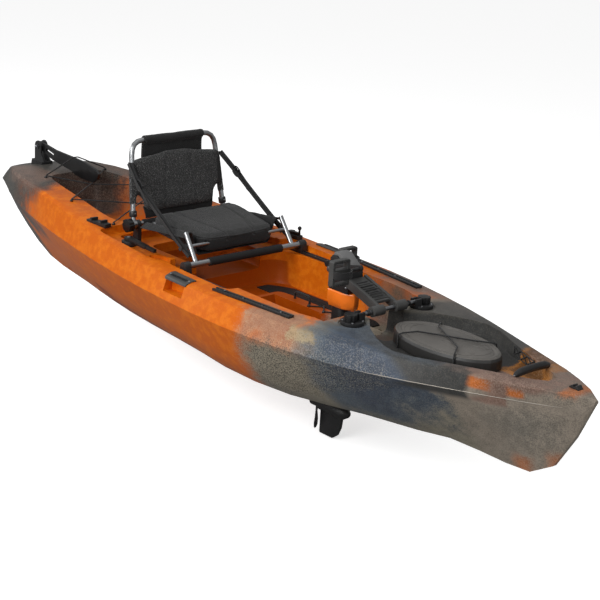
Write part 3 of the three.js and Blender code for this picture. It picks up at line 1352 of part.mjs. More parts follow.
function rudderHead() {
  const [inner, outer] = RUDDER_CHEEK;
  const [px, pz] = RUDDER_PIVOT;
  const foot = RUDDER_SEAT_TOP + FIT_GAP;
  const cheekShape = outline(cheekShares.map(([along, up]) => [
    THREE.MathUtils.lerp(px - RUDDER_CHEEK_RADIUS, px + RUDDER_CHEEK_RADIUS, along),
    THREE.MathUtils.lerp(foot, pz, up),
  ]));
  const cheek = slab(cheekShape, inner, outer).add(
    rod(RUDDER_CHEEK_RADIUS, outer - inner, "y", [px, (inner + outer) / 2, pz], FINE_SIDES),
  );
  const base = boxAt(
    [RUDDER_STEER_X - RUDDER_SEAT_HALF_LENGTH, -RUDDER_FOOT_HALF_WIDTH, foot],
    [RUDDER_STEER_X + RUDDER_SEAT_HALF_LENGTH, RUDDER_FOOT_HALF_WIDTH, RUDDER_FOOT_TOP],
  );
  const above = boxAt([-HULL_LENGTH, -HULL_BEAM, foot], [0, HULL_BEAM, HULL_LENGTH]);
  return join(cheek, mirrored(cheek), base).intersect(above).subtract(pinBore());
}

function pinBore() {
  const [x, z] = RUDDER_PIVOT;
  return rod(RUDDER_PIN_RADIUS + FIT_GAP, 4 * RUDDER_PIN_END, "y", [x, 0, z], BORE_SIDES);
}

function rudderPin() {
  const [x, z] = RUDDER_PIVOT;
  const [, outer] = RUDDER_CHEEK;
  const headLength = RUDDER_PIN_END - outer - FIT_GAP;
  const head = rod(RUDDER_PIN_HEAD, headLength, "y", [x, RUDDER_PIN_END - headLength / 2, z]);
  const shank = rod(RUDDER_PIN_RADIUS, 2 * (RUDDER_PIN_END - 1), "y", [x, 0, z], BORE_SIDES);
  return join(shank, head, mirrored(head));
}

// The blade, its two arms and the hub that turns between the cheeks.
function rudderBlade() {
  const [x, z] = RUDDER_PIVOT;
  const at = ([along, up]) => [x + along * RUDDER_BLADE_LENGTH, z + up * RUDDER_BLADE_LENGTH];
  const shape = outline(bladeOutlineShares.map(at));
  const gap = outline(armGapShares.map(at));
  const half = RUDDER_BLADE_HALF_THICKNESS;
  const body = slab(shape, -half, half).subtract(slab(gap, -OVERRUN, OVERRUN));
  const hub = rod(RUDDER_HUB_RADIUS, 2 * RUDDER_HUB_HALF_WIDTH, "y", [x, 0, z]);
  return body.add(hub).subtract(pinBore());
}

// Rudder controls

function controlArm([x, y], [endX, endY], radius, width, bottom, top) {
  return join(disc(radius, [x, y], bottom, top), strip([x, y, top], [endX, endY, top], width, top - bottom));
}

function steeringBase() {
  const [[x0, y0], [x1, y1]] = STEERING_BASE;
  return onDeck(boxAt([x0, y0, STEERING_BASE_TOP - OVERRUN / 2], [x1, y1, STEERING_BASE_TOP]));
}

function steeringHandle() {
  const bottom = STEERING_BASE_TOP + FIT_GAP;
  const ball = new THREE.SphereGeometry(STEERING_BALL_RADIUS, TUBE_SIDES, CORD_SIDES);
  ball.rotateX(Math.PI / 2);
  ball.translate(...STEERING_ARM_END, STEERING_BALL_HEIGHT);
  const stalk = disc(STEERING_BALL_RADIUS / 2, STEERING_ARM_END, bottom, STEERING_BALL_HEIGHT, TUBE_SIDES);
  const arm = controlArm(
    STEERING_PIVOT, STEERING_ARM_END, STEERING_DISC_RADIUS, STEERING_ARM_WIDTH, bottom, STEERING_TOP,
  );
  return join(arm, stalk, solid(ball));
}

function leverBase() {
  return disc(LEVER_BASE_RADIUS, LEVER_PIVOT, SHELF_HEIGHT + FIT_GAP, LEVER_BASE_TOP);
}

function liftLever() {
  const bottom = LEVER_BASE_TOP + FIT_GAP;
  const reach = new THREE.Vector2(LEVER_END[0] - LEVER_PIVOT[0], LEVER_END[1] - LEVER_PIVOT[1]);
  const grip = reach.clone().setLength(reach.length() - LEVER_GRIP);
  const start = [LEVER_PIVOT[0] + grip.x, LEVER_PIVOT[1] + grip.y];
  return join(
    controlArm(LEVER_PIVOT, start, LEVER_DISC_RADIUS, LEVER_WIDTH, bottom, LEVER_TOP),
    strip(
      [...LEVER_PIVOT, LEVER_TOP], [...LEVER_END, LEVER_TOP - FIT_GAP],
      (2 * LEVER_WIDTH) / 3, LEVER_TOP - bottom - FIT_GAP,
    ),
  );
}

// Seat

function seatFrame() {
  const across = ([x, y, z]) => [x, -y, z];
  const frontBar = rod(SEAT_BAR_RADIUS, 2 * SEAT_BAR_END, "y", [SEAT_BAR_X, 0, SEAT_BAR_Z]);
  const rearBar = rod(HINGE_BAR_RADIUS, 2 * HINGE_BAR_END, "y", [HINGE_X, 0, HINGE_Z]);
  const sides = [(point) => point, across].map((place) => join(
    tube([place(POST_FOOT), place(POST_TOP)], POST_RADIUS, BORE_SIDES),
    seatRail(place, 0),
  ));
  return join(frontBar, rearBar, ...sides);
}

// The stub in from the post and the rail back to the hinge bar.
function seatRail(place, grow) {
  const corners = [[STUB_X, STUB_Y, STUB_Z], [STUB_X, RAIL_Y, STUB_Z], [HINGE_X, RAIL_Y, HINGE_Z]].map(place);
  return tube(bent(corners, 2 * RAIL_RADIUS), RAIL_RADIUS + grow);
}

function foam(radius, end, bar, [x, z]) {
  const bore = rod(bar + FIT_GAP, 3 * end, "y", [x, 0, z]);
  return rod(radius, 2 * end, "y", [x, 0, z]).subtract(bore);
}

// A foot round a bar: flat below, round above.
function footShape(x, z, half, bottom) {
  const shape = new THREE.Shape();
  shape.moveTo(x - half, bottom);
  shape.lineTo(x + half, bottom);
  shape.lineTo(x + FOOT_ROUND, z);
  shape.absarc(x, z, FOOT_ROUND, 0, Math.PI);
  shape.lineTo(x - half, bottom);
  return shape;
}

function frontFoot() {
  const bottom = LEDGE_HEIGHT + SEAT_TRACK_HEIGHT + 2 * FIT_GAP;
  const block = slab(footShape(SEAT_BAR_X, SEAT_BAR_Z, FRONT_FOOT_HALF_LENGTH, bottom), ...FRONT_FOOT);
  const bore = rod(SEAT_BAR_RADIUS + FIT_GAP, 2 * (SEAT_BAR_END + FIT_GAP), "y", [SEAT_BAR_X, 0, SEAT_BAR_Z]);
  return block.subtract(bore);
}

function rearFoot() {
  const bottom = LEDGE_HEIGHT + FIT_GAP;
  const [inner, outer] = REAR_FOOT_BASE;
  const base = boxAt(
    [HINGE_X - FRONT_FOOT_HALF_LENGTH, inner, bottom],
    [HINGE_X + FRONT_FOOT_HALF_LENGTH, outer, bottom + REAR_FOOT_BASE_HEIGHT],
  );
  const upright = slab(footShape(HINGE_X, HINGE_Z, FOOT_ROUND, bottom), ...REAR_FOOT);
  const bore = rod(HINGE_BAR_RADIUS + FIT_GAP, 2 * HULL_BEAM, "y", [HINGE_X, 0, HINGE_Z]);
  return base.add(upright).subtract(bore);
}

function hingeKnob() {
  const start = HINGE_BAR_END + FIT_GAP;
  const centre = [HINGE_X, (start + KNOB_END) / 2, HINGE_Z];
  const body = rod(KNOB_RADIUS, KNOB_END - start, "y", centre);
  return scalloped(body, centre, KNOB_RADIUS, KNOB_SCALLOP_RADIUS, KNOB_SCALLOPS, "y", OVERRUN);
}

function backTube(grow) {
  const across = ([x, y, z]) => [x, -y, z];
  const corners = [BACK_FOOT, BACK_CORNER, across(BACK_CORNER), across(BACK_FOOT)];
  return tube(bent(corners, BACK_BEND), BACK_TUBE_RADIUS + grow);
}

function backFrame() {
  const [inner, outer] = BACK_EYE;
  const eye = rod(BACK_EYE_RADIUS, outer - inner, "y", [HINGE_X, (inner + outer) / 2, HINGE_Z]);
  const bore = rod(HINGE_BAR_RADIUS + FIT_GAP, 2 * HULL_BEAM, "y", [HINGE_X, 0, HINGE_Z]);
  return join(backTube(0), eye, mirrored(eye)).subtract(bore);
}

// A sleeve round the top tube with a flap hanging behind the panel.
function headerSleeve() {
  const [x, , z] = BACK_CORNER;
  const [flapAft, flapFore] = HEADER_FLAP;
  const flap = outline([[flapAft, HEADER_BOTTOM], [flapFore, HEADER_BOTTOM], [flapFore, z], [flapAft, z]]);
  const body = join(
    rod(HEADER_ROUND, 2 * HEADER_HALF_WIDTH, "y", [x, 0, z]),
    slab(flap, -HEADER_HALF_WIDTH, HEADER_HALF_WIDTH),
  );
  return body.subtract(backTube(FIT_GAP));
}

// A place on the leaning back: across, up from the hinge to the top tube, and out from the tubes' plane.
function backPlace([across, up, out]) {
  const run = new THREE.Vector2(BACK_CORNER[0] - BACK_FOOT[0], BACK_CORNER[2] - BACK_FOOT[2]);
  const lean = run.clone().normalize();
  return new THREE.Vector3(
    BACK_FOOT[0] + run.x * up + lean.y * out, across, BACK_FOOT[2] + run.y * up - lean.x * out,
  );
}

// The sling panel: a crowned pad with two seams, hemmed round the side tubes.
function backPanel() {
  const loop = [...panelShares, ...panelShares.slice().reverse().map(([y, up]) => [-y, up])];
  const reach = BACK_CORNER[2] - BACK_FOOT[2];
  const places = loop.map(([y, up]) => [y * HEADER_HALF_WIDTH, up * reach]);
  const layers = [
    [-2, PANEL_CROWN / 2], [PANEL_CROWN / 2, 0], [PANEL_THICKNESS - PANEL_CROWN, 0],
    [PANEL_THICKNESS - PANEL_CROWN / 2, PANEL_CROWN / 2], [PANEL_THICKNESS, 2 * PANEL_CROWN],
  ];
  const rings = layers.map(([out, inset]) => {
    return drawnIn(places, inset).map(([y, up]) => backPlace([y, up / reach, out]));
  });
  const hem = (side) => {
    const ends = PANEL_HEM.map((up) => {
      const place = backPlace([0, up, 0]);
      return [place.x, side * THREE.MathUtils.lerp(BACK_FOOT[1], BACK_CORNER[1], up), place.z];
    });
    return tube(ends, PANEL_HEM_RADIUS, BORE_SIDES);
  };
  const seam = (side) => {
    const run = panelSeamShares.map(([y, up]) => {
      return backPlace([side * y * HEADER_HALF_WIDTH, up, PANEL_THICKNESS]).toArray();
    });
    return tube(run, SEAM_RADIUS, CORD_SIDES);
  };
  return join(loft(rings), hem(1), hem(-1)).subtract(join(backTube(FIT_GAP), seam(1), seam(-1)));
}

// The seat cushion: drawn-in sides, a crown and two sewn seams, threaded by the frame's rails.
function seatCushion() {
  const places = wellOutline({
    aft: CUSHION_AFT, fore: CUSHION_FORE, corner: CUSHION_CORNER,
    aftHalf: CUSHION_AFT_HALF_WIDTH, foreHalf: CUSHION_FORE_HALF_WIDTH,
  });
  const slope = [CUSHION_AFT, CUSHION_FORE, CUSHION_AFT_BOTTOM, CUSHION_FORE_BOTTOM];
  const bottom = (x) => THREE.MathUtils.mapLinear(x, ...slope);
  const layers = [
    [0, CUSHION_CROWN], [CUSHION_CROWN, 0], [CUSHION_THICKNESS - CUSHION_CROWN, 0],
    [CUSHION_THICKNESS, CUSHION_CROWN], [CUSHION_THICKNESS + CUSHION_CROWN / 2, 3 * CUSHION_CROWN],
    [CUSHION_THICKNESS + CUSHION_CROWN, 8 * CUSHION_CROWN],
  ];
  const rings = layers.map(([up, inset]) => {
    return drawnIn(places, inset).map(([x, y]) => new THREE.Vector3(x, y, bottom(x) + up));
  });
  const top = CUSHION_THICKNESS + CUSHION_CROWN / 2;
  const seam = (side) => {
    const run = cushionSeamShares.map(([along, y]) => {
      const x = THREE.MathUtils.lerp(CUSHION_AFT, CUSHION_FORE, along);
      return [x, side * y * CUSHION_FORE_HALF_WIDTH, bottom(x) + top];
    });
    return tube(run, SEAM_RADIUS, CORD_SIDES);
  };
  const rails = join(
    seatRail((point) => point, FIT_GAP),
    seatRail(([x, y, z]) => [x, -y, z], FIT_GAP),
  );
  return loft(rings).subtract(join(rails, seam(1), seam(-1)));
}

// A webbing strap with its buckle at the middle place.
function strap() {
  const [top, middle, foot] = STRAP_PLACES.map((place) => new THREE.Vector3(...place));
  const section = (point, direction, width, thickness) => {
    const across = new THREE.Vector3(-direction.z, 0, direction.x).normalize().multiplyScalar(width / 2);
    return [[-1, -1], [1, -1], [1, 1], [-1, 1]].map(([a, b]) =>
      point.clone().addScaledVector(across, a).add(new THREE.Vector3(0, (b * thickness) / 2, 0)),
    );
  };
  const upper = middle.clone().sub(top).normalize();
  const lower = foot.clone().sub(middle).normalize();
  const mean = upper.clone().add(lower).normalize();
  const web = loft([
    section(top, upper, STRAP_WIDTH, STRAP_THICKNESS),
    section(middle, mean, STRAP_WIDTH, STRAP_THICKNESS),
    section(foot, lower, STRAP_WIDTH, STRAP_THICKNESS),
  ]);
  const buckle = loft([-1, 1].map((end) =>
    section(
      middle.clone().addScaledVector(mean, (end * BUCKLE_LENGTH) / 2),
      mean, BUCKLE_WIDTH, BUCKLE_THICKNESS,
    ),
  ));
  return web.add(buckle);
}

function finish(color, roughness, metalness = 0) {
  return new THREE.MeshStandardMaterial({ color, roughness, metalness });
}
const finishes = {
  hull: () => finish(0xd9721f, 0.45),
  black: () => finish(0x1c1c1e, 0.6),
  grey: () => finish(0x4b4c4a, 0.6),
  steel: () => finish(0xb9bcc0, 0.3, 0.9),
  orange: () => finish(0xf06a12, 0.35),
  cloth: () => finish(0x2c2d30, 0.9),
  cord: () => finish(0x141414, 0.8),
};

const kayak = new THREE.Group();
const seat = new THREE.Group();
const drive = new THREE.Group();
const rudder = new THREE.Group();
kayak.add(seat, drive, rudder);

function place(parent, name, body, material) {
  const mesh = new THREE.Mesh(geometryOf(body), finishes[material]());
  mesh.name = name;
  parent.add(mesh);
}

// One piece for port, and the same piece mirrored for starboard.
function placePair(parent, name, body, material) {
  place(parent, `${name}_port`, body, material);
  place(parent, `${name}_starboard`, mirrored(body), material);
}

place(kayak, "hull", makeHull(), "hull");
placePair(kayak, "gear_track", gearTrack(), "black");
placePair(kayak, "seat_track", seatTrack(), "black");
placePair(kayak, "side_handle", sideHandle(), "grey");
placePair(kayak, "floor_pad", floorPad(), "cloth");
placePair(kayak, "console_bungee", consoleBungee(), "cord");
place(kayak, "grab_loop", grabLoop(), "cord");
place(kayak, "tank_bungee", tankBungee(), "cord");
place(kayak, "paddle_clip", paddleClip(), "black");
place(kayak, "bow_handle", bowHandle(), "black");
place(kayak, "bow_fitting", bowFitting(), "black");
place(kayak, "bow_net", bowNet(), "cord");
place(kayak, "hatch_lid", hatchLid(), "grey");
place(kayak, "hatch_bungee", hatchBungee(), "cord");
placePair(kayak, "receiver_base", receiverBase(), "black");
placePair(kayak, "receiver_knob", receiverKnob(), "black");

place(drive, "drive_leg", driveLeg(), "black");
place(drive, "drive_collar", driveCollar(), "orange");
place(drive, "drive_head", driveHead(), "black");
place(drive, "head_cover", headCover(), "grey");
place(drive, "drive_yoke", driveYoke(), "grey");
place(drive, "crossbar", crossbar(), "steel");
place(drive, "crank_axle", crankAxle(), "steel");
place(drive, "propeller", propeller(), "black");
[["port", 1], ["starboard", -1]].forEach(([name, side]) => {
  place(drive, `crank_arm_${name}`, crankArm(side), "black");
  place(drive, `pedal_${name}`, pedal(side), "grey");
  place(drive, `pedal_strap_${name}`, pedalStrap(side), "black");
});

place(rudder, "rudder_bracket", rudderBracket(), "black");
place(rudder, "rudder_head", rudderHead(), "black");
place(rudder, "rudder_pin", rudderPin(), "steel");
place(rudder, "rudder_blade", rudderBlade(), "black");
place(rudder, "steering_base", steeringBase(), "black");
place(rudder, "steering_handle", steeringHandle(), "black");
place(rudder, "lever_base", leverBase(), "black");
place(rudder, "lift_lever", liftLever(), "black");

const rails = join(seatRail((point) => point, FIT_GAP), seatRail(([x, y, z]) => [x, -y, z], FIT_GAP));
place(seat, "seat_frame", seatFrame(), "steel");
const frontFoam = foam(FRONT_FOAM_RADIUS, FRONT_FOAM_END, SEAT_BAR_RADIUS, [SEAT_BAR_X, SEAT_BAR_Z]);
const rearFoam = foam(REAR_FOAM_RADIUS, REAR_FOAM_END, HINGE_BAR_RADIUS, [HINGE_X, HINGE_Z]);
place(seat, "front_foam", frontFoam, "black");
place(seat, "rear_foam", rearFoam.subtract(rails), "black");
placePair(seat, "seat_foot_front", frontFoot(), "black");
placePair(seat, "seat_foot_rear", rearFoot(), "black");
placePair(seat, "hinge_knob", hingeKnob(), "black");
place(seat, "seat_cushion", seatCushion(), "cloth");
place(seat, "back_frame", backFrame(), "steel");
place(seat, "back_panel", backPanel(), "cloth");
place(seat, "header_sleeve", headerSleeve(), "cloth");
placePair(seat, "strap", strap(), "black");

export default kayak;
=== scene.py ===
"""Dresses a sit-on-top pedal kayak: marbled hull, sewn frame seat, pedal drive and rudder."""

import logging
import math
from dataclasses import dataclass, field
from enum import Enum
from typing import Callable, Iterable, Sequence

import bmesh
import bpy
import numpy as np
from mathutils import Matrix, Vector, noise
from mathutils.bvhtree import BVHTree

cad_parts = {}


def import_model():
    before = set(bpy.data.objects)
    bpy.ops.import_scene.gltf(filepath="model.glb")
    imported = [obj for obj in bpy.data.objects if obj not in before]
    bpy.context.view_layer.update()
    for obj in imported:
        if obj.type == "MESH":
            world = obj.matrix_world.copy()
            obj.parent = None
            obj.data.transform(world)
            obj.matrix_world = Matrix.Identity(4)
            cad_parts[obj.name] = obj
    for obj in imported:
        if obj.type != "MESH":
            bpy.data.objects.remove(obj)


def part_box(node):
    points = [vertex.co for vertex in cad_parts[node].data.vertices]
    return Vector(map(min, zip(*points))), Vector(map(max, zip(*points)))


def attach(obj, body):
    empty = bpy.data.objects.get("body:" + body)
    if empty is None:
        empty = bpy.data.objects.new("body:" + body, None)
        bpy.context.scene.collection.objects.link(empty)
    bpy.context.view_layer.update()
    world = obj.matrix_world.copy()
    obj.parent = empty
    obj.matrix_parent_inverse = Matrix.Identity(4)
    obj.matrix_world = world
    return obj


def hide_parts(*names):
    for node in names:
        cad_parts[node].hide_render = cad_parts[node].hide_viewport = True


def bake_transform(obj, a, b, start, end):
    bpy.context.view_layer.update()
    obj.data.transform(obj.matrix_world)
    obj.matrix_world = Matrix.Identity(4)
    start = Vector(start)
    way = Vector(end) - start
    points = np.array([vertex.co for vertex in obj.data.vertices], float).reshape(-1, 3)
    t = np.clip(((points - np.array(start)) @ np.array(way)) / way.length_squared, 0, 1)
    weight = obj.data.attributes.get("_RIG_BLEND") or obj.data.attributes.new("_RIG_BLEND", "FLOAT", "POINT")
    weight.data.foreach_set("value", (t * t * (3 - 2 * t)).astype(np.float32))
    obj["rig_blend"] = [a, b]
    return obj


log = logging.getLogger("kayak")
Pair = tuple[float, float]
Point = tuple[float, float, float]
Colour = tuple[float, float, float]
Socket = bpy.types.NodeSocket
Piece = bpy.types.Object
Value = float | Socket
Shade = Colour | Socket
UP: Point = (0, 0, 1)
DOWN: Point = (0, 0, -1)
FORWARD: Point = (1, 0, 0)
AFT: Point = (-1, 0, 0)
EYE: Point = (4.5307, -3.8388, 2.1342)
YAW, PITCH, ROLL = 2.3953, -0.3160, 0.0591
LENS = 90.62
STITCH_GAP, STITCH_LENGTH, STITCH_RADIUS = 0.007, 0.0045, 0.0006
FLOOR_HEIGHT = -0.222


class Side(Enum):
    """The two sides of the boat."""

    PORT = 1
    STARBOARD = -1

    @property
    def word(self) -> str:
        """The side's name as the nodes spell it."""
        return self.name.lower()

    @property
    def out(self) -> tuple[int, int, int]:
        """The way that points out of the boat on this side."""
        return 0, self.value, 0


class Tree:
    """A short way to write a material's node tree."""

    def __init__(self, material: bpy.types.Material) -> None:
        """Starts an empty tree.

        Args:
            material: the material whose tree is written.
        """
        material.use_nodes = True
        self.nodes = material.node_tree.nodes
        self.links = material.node_tree.links
        self.nodes.clear()

    def add(self, kind: str, values: dict | None = None, **settings) -> bpy.types.Node:
        """Adds one node.

        Args:
            kind: the node's type name without the ShaderNode prefix.
            values: socket name or number to a value or another node's socket.
            settings: attributes of the node itself.

        Returns:
            The new node.
        """
        node = self.nodes.new("ShaderNode" + kind)
        for name, value in settings.items():
            setattr(node, name, value)
        for key, value in (values or {}).items():
            socket = node.inputs[key]
            if isinstance(value, Socket):
                self.links.new(value, socket)
            else:
                socket.default_value = value
        return node

    def math(self, operation: str, *values: Value) -> Socket:
        """One sum on numbers or sockets.

        Args:
            operation: the Math node's operation.
            values: numbers or sockets, in order.

        Returns:
            The result's socket.
        """
        return self.add("Math", dict(enumerate(values)), operation=operation).outputs[0]

    def times(self, a: Value, b: Value) -> Socket:
        """Two numbers or sockets multiplied."""
        return self.math("MULTIPLY", a, b)

    def plus(self, a: Value, b: Value) -> Socket:
        """Two numbers or sockets added."""
        return self.math("ADD", a, b)

    def minus(self, a: Value, b: Value) -> Socket:
        """The second number or socket taken from the first."""
        return self.math("SUBTRACT", a, b)

    def step(self, value: Value, low: float, high: float) -> Socket:
        """A smooth rise from 0 at low to 1 at high, or a fall where high is below low.

        Args:
            value: the socket that drives it.
            low: where the result is 0.
            high: where the result is 1.

        Returns:
            The result's socket.
        """
        node = self.add("MapRange", {0: value, 1: low, 2: high}, interpolation_type="SMOOTHSTEP")
        return node.outputs[0]

    def mix(self, factor: Value, a: Shade, b: Shade) -> Socket:
        """Two colours mixed.

        Args:
            factor: how much of the second colour shows.
            a: the first colour or socket.
            b: the second colour or socket.

        Returns:
            The mixed colour's socket.
        """
        return self.add("Mix", {0: factor, 6: self.rgba(a), 7: self.rgba(b)}, data_type="RGBA").outputs[2]

    @staticmethod
    def rgba(value: Shade) -> Shade:
        """A colour with its alpha, or the socket it came as."""
        return value if isinstance(value, Socket) else (*value[:3], 1.0)

    def place(self) -> Socket:
        """The point's place on the boat, in metres."""
        return self.add("TexCoord").outputs["Object"]

    def noise(self, place: Socket, scale: float, detail: float, rough: float = 0.5) -> Socket:
        """Soft noise.

        Args:
            place: the coordinate it is read at.
            scale: how many lumps there are to the metre.
            detail: how many finer layers it has.
            rough: how strong those layers are.

        Returns:
            The noise's value.
        """
        node = self.add("TexNoise", {"Vector": place, "Scale": scale, "Detail": detail, "Roughness": rough})
        return node.outputs["Fac"]

    def bump(self, height: Socket, strength: float, distance: float) -> Socket:
        """A relief.

        Args:
            height: the socket that gives its height.
            strength: how strong it is.
            distance: how deep it is, in metres.

        Returns:
            The normal's socket.
        """
        return self.add("Bump", {"Height": height, "Strength": strength, "Distance": distance}).outputs[0]

    def surface(self, values: dict) -> None:
        """Ends the tree in a Principled shader.

        Args:
            values: the shader's sockets.
        """
        shader = self.add("BsdfPrincipled", values)
        self.add("OutputMaterial", {"Surface": shader.outputs[0]})


@dataclass(frozen=True)
class Finish:
    """A finish that is made once and shared."""

    name: str
    colour: Colour
    roughness: float = 0.5

    def material(self) -> bpy.types.Material:
        """The Blender material, made when first asked for."""
        found = bpy.data.materials.get(self.name)
        if found:
            return found
        made = bpy.data.materials.new(self.name)
        self.write(Tree(made))
        made.diffuse_color = (*self.colour, 1)
        return made

    def write(self, tree: Tree) -> None:
        """Writes the nodes.

        Args:
            tree: the empty tree.
        """
        raise NotImplementedError


@dataclass(frozen=True)
class Moulded(Finish):
    """Moulded plastic with a fine pebble, faint flow marks and scuffed edges."""

    grain: float = 900.0
    relief: float = 0.00025
    coat: float = 0.0

    def write(self, tree: Tree) -> None:
        """Writes the nodes."""
        place = tree.place()
        cloudy = tree.noise(place, 9, 4, 0.6)
        pebble = tree.noise(place, self.grain, 1)
        scuffs = tree.step(tree.noise(place, 60, 5, 0.75), 0.62, 0.72)
        lighter = tuple(min(1.0, part * 1.25 + 0.003) for part in self.colour)
        colour = tree.mix(tree.step(cloudy, 0.35, 0.7), self.colour, lighter)
        colour = tree.mix(tree.times(scuffs, 0.12), colour, (0.20, 0.195, 0.19))
        rough = tree.plus(tree.times(cloudy, 0.2), self.roughness - 0.1)
        tree.surface({"Base Color": colour, "Roughness": rough, "Coat Weight": self.coat,
                      "Normal": tree.bump(pebble, 0.35, self.relief)})


@dataclass(frozen=True)
class Metal(Finish):
    """Drawn or brushed metal."""

    stretch: Point = (6.0, 400.0, 400.0)

    def write(self, tree: Tree) -> None:
        """Writes the nodes."""
        place = tree.add("Mapping", {"Vector": tree.place(), "Scale": self.stretch}).outputs[0]
        lines = tree.noise(place, 3, 2, 0.6)
        smudge = tree.noise(tree.place(), 14, 3)
        rough = tree.plus(tree.times(smudge, 0.18), self.roughness - 0.08)
        colour = tree.mix(smudge, scaled(self.colour, 0.85), self.colour)
        tree.surface({"Base Color": colour, "Metallic": 1.0, "Roughness": rough,
                      "Normal": tree.bump(lines, 0.12, 0.0002)})


@dataclass(frozen=True)
class Woven(Finish):
    """Coarse woven cloth: crossed yarns, a broken sheen and a pale fleck."""

    yarns: float = 330.0
    depth: float = 0.0008
    fleck: Colour = (0.10, 0.10, 0.105)
    fleck_scale: float = 700.0

    def write(self, tree: Tree) -> None:
        """Writes the nodes."""
        place = tree.place()
        waves = [
            tree.add("TexWave", {"Vector": place, "Scale": self.yarns, "Distortion": 0.6, "Detail": 0.0},
                     bands_direction=axis, wave_profile="SIN").outputs["Fac"]
            for axis in ("X", "Y", "Z")
        ]
        crossed = [tree.times(waves[0], waves[1]), tree.times(waves[1], waves[2])]
        weave = tree.math("MAXIMUM", *crossed)
        cloudy = tree.noise(place, 18, 4, 0.7)
        flecks = tree.step(tree.noise(place, self.fleck_scale, 2, 0.7), 0.52, 0.66)
        colour = tree.mix(tree.step(cloudy, 0.3, 0.75), scaled(self.colour, 0.7), self.colour)
        colour = tree.mix(tree.times(flecks, 0.6), colour, self.fleck)
        tree.surface({"Base Color": colour, "Roughness": self.roughness, "Sheen Weight": 0.1,
                      "Sheen Roughness": 0.5, "Normal": tree.bump(weave, 0.6, self.depth)})


@dataclass(frozen=True)
class Webbing(Finish):
    """Narrow webbing or braided cord with slanting ribs."""

    ribs: float = 420.0

    def write(self, tree: Tree) -> None:
        """Writes the nodes."""
        place = tree.place()
        turned = tree.add("Mapping", {"Vector": place, "Rotation": (0.5, 0.6, 0.7)}).outputs[0]
        wave = tree.add("TexWave", {"Vector": turned, "Scale": self.ribs, "Distortion": 1.5, "Detail": 1.0})
        ribs = wave.outputs["Fac"]
        colour = tree.mix(ribs, scaled(self.colour, 0.6), scaled(self.colour, 1.5))
        tree.surface({"Base Color": colour, "Roughness": self.roughness, "Sheen Weight": 0.1,
                      "Normal": tree.bump(ribs, 0.5, 0.0006)})


@dataclass(frozen=True)
class Foam(Finish):
    """Closed-cell foam with pin holes."""

    def write(self, tree: Tree) -> None:
        """Writes the nodes."""
        place = tree.place()
        cells = tree.add("TexVoronoi", {"Vector": place, "Scale": 650.0}).outputs["Distance"]
        cloudy = tree.noise(place, 25, 3)
        colour = tree.mix(cloudy, scaled(self.colour, 0.7), scaled(self.colour, 1.3))
        tree.surface({"Base Color": colour, "Roughness": self.roughness,
                      "Normal": tree.bump(cells, 0.3, 0.0006)})


def scaled(colour: Colour, share: float) -> Colour:
    """A colour made lighter or darker.

    Args:
        colour: its three linear parts.
        share: what each part is multiplied by.

    Returns:
        The new parts.
    """
    return tuple(part * share for part in colour)


def tone(code: str) -> Colour:
    """A screen colour as linear light.

    Args:
        code: six hexadecimal digits.

    Returns:
        The three linear parts.
    """
    parts = [int(code[i:i + 2], 16) / 255 for i in (0, 2, 4)]
    return tuple(part / 12.92 if part <= 0.04045 else ((part + 0.055) / 1.055) ** 2.4 for part in parts)


@dataclass(frozen=True)
class Patch:
    """One patch of the marbled plastic, a soft box in the boat's own space."""

    low: Point
    high: Point
    colour: Colour
    edge: float = 0.08
    ragged: float = 0.30
    strength: float = 1.0


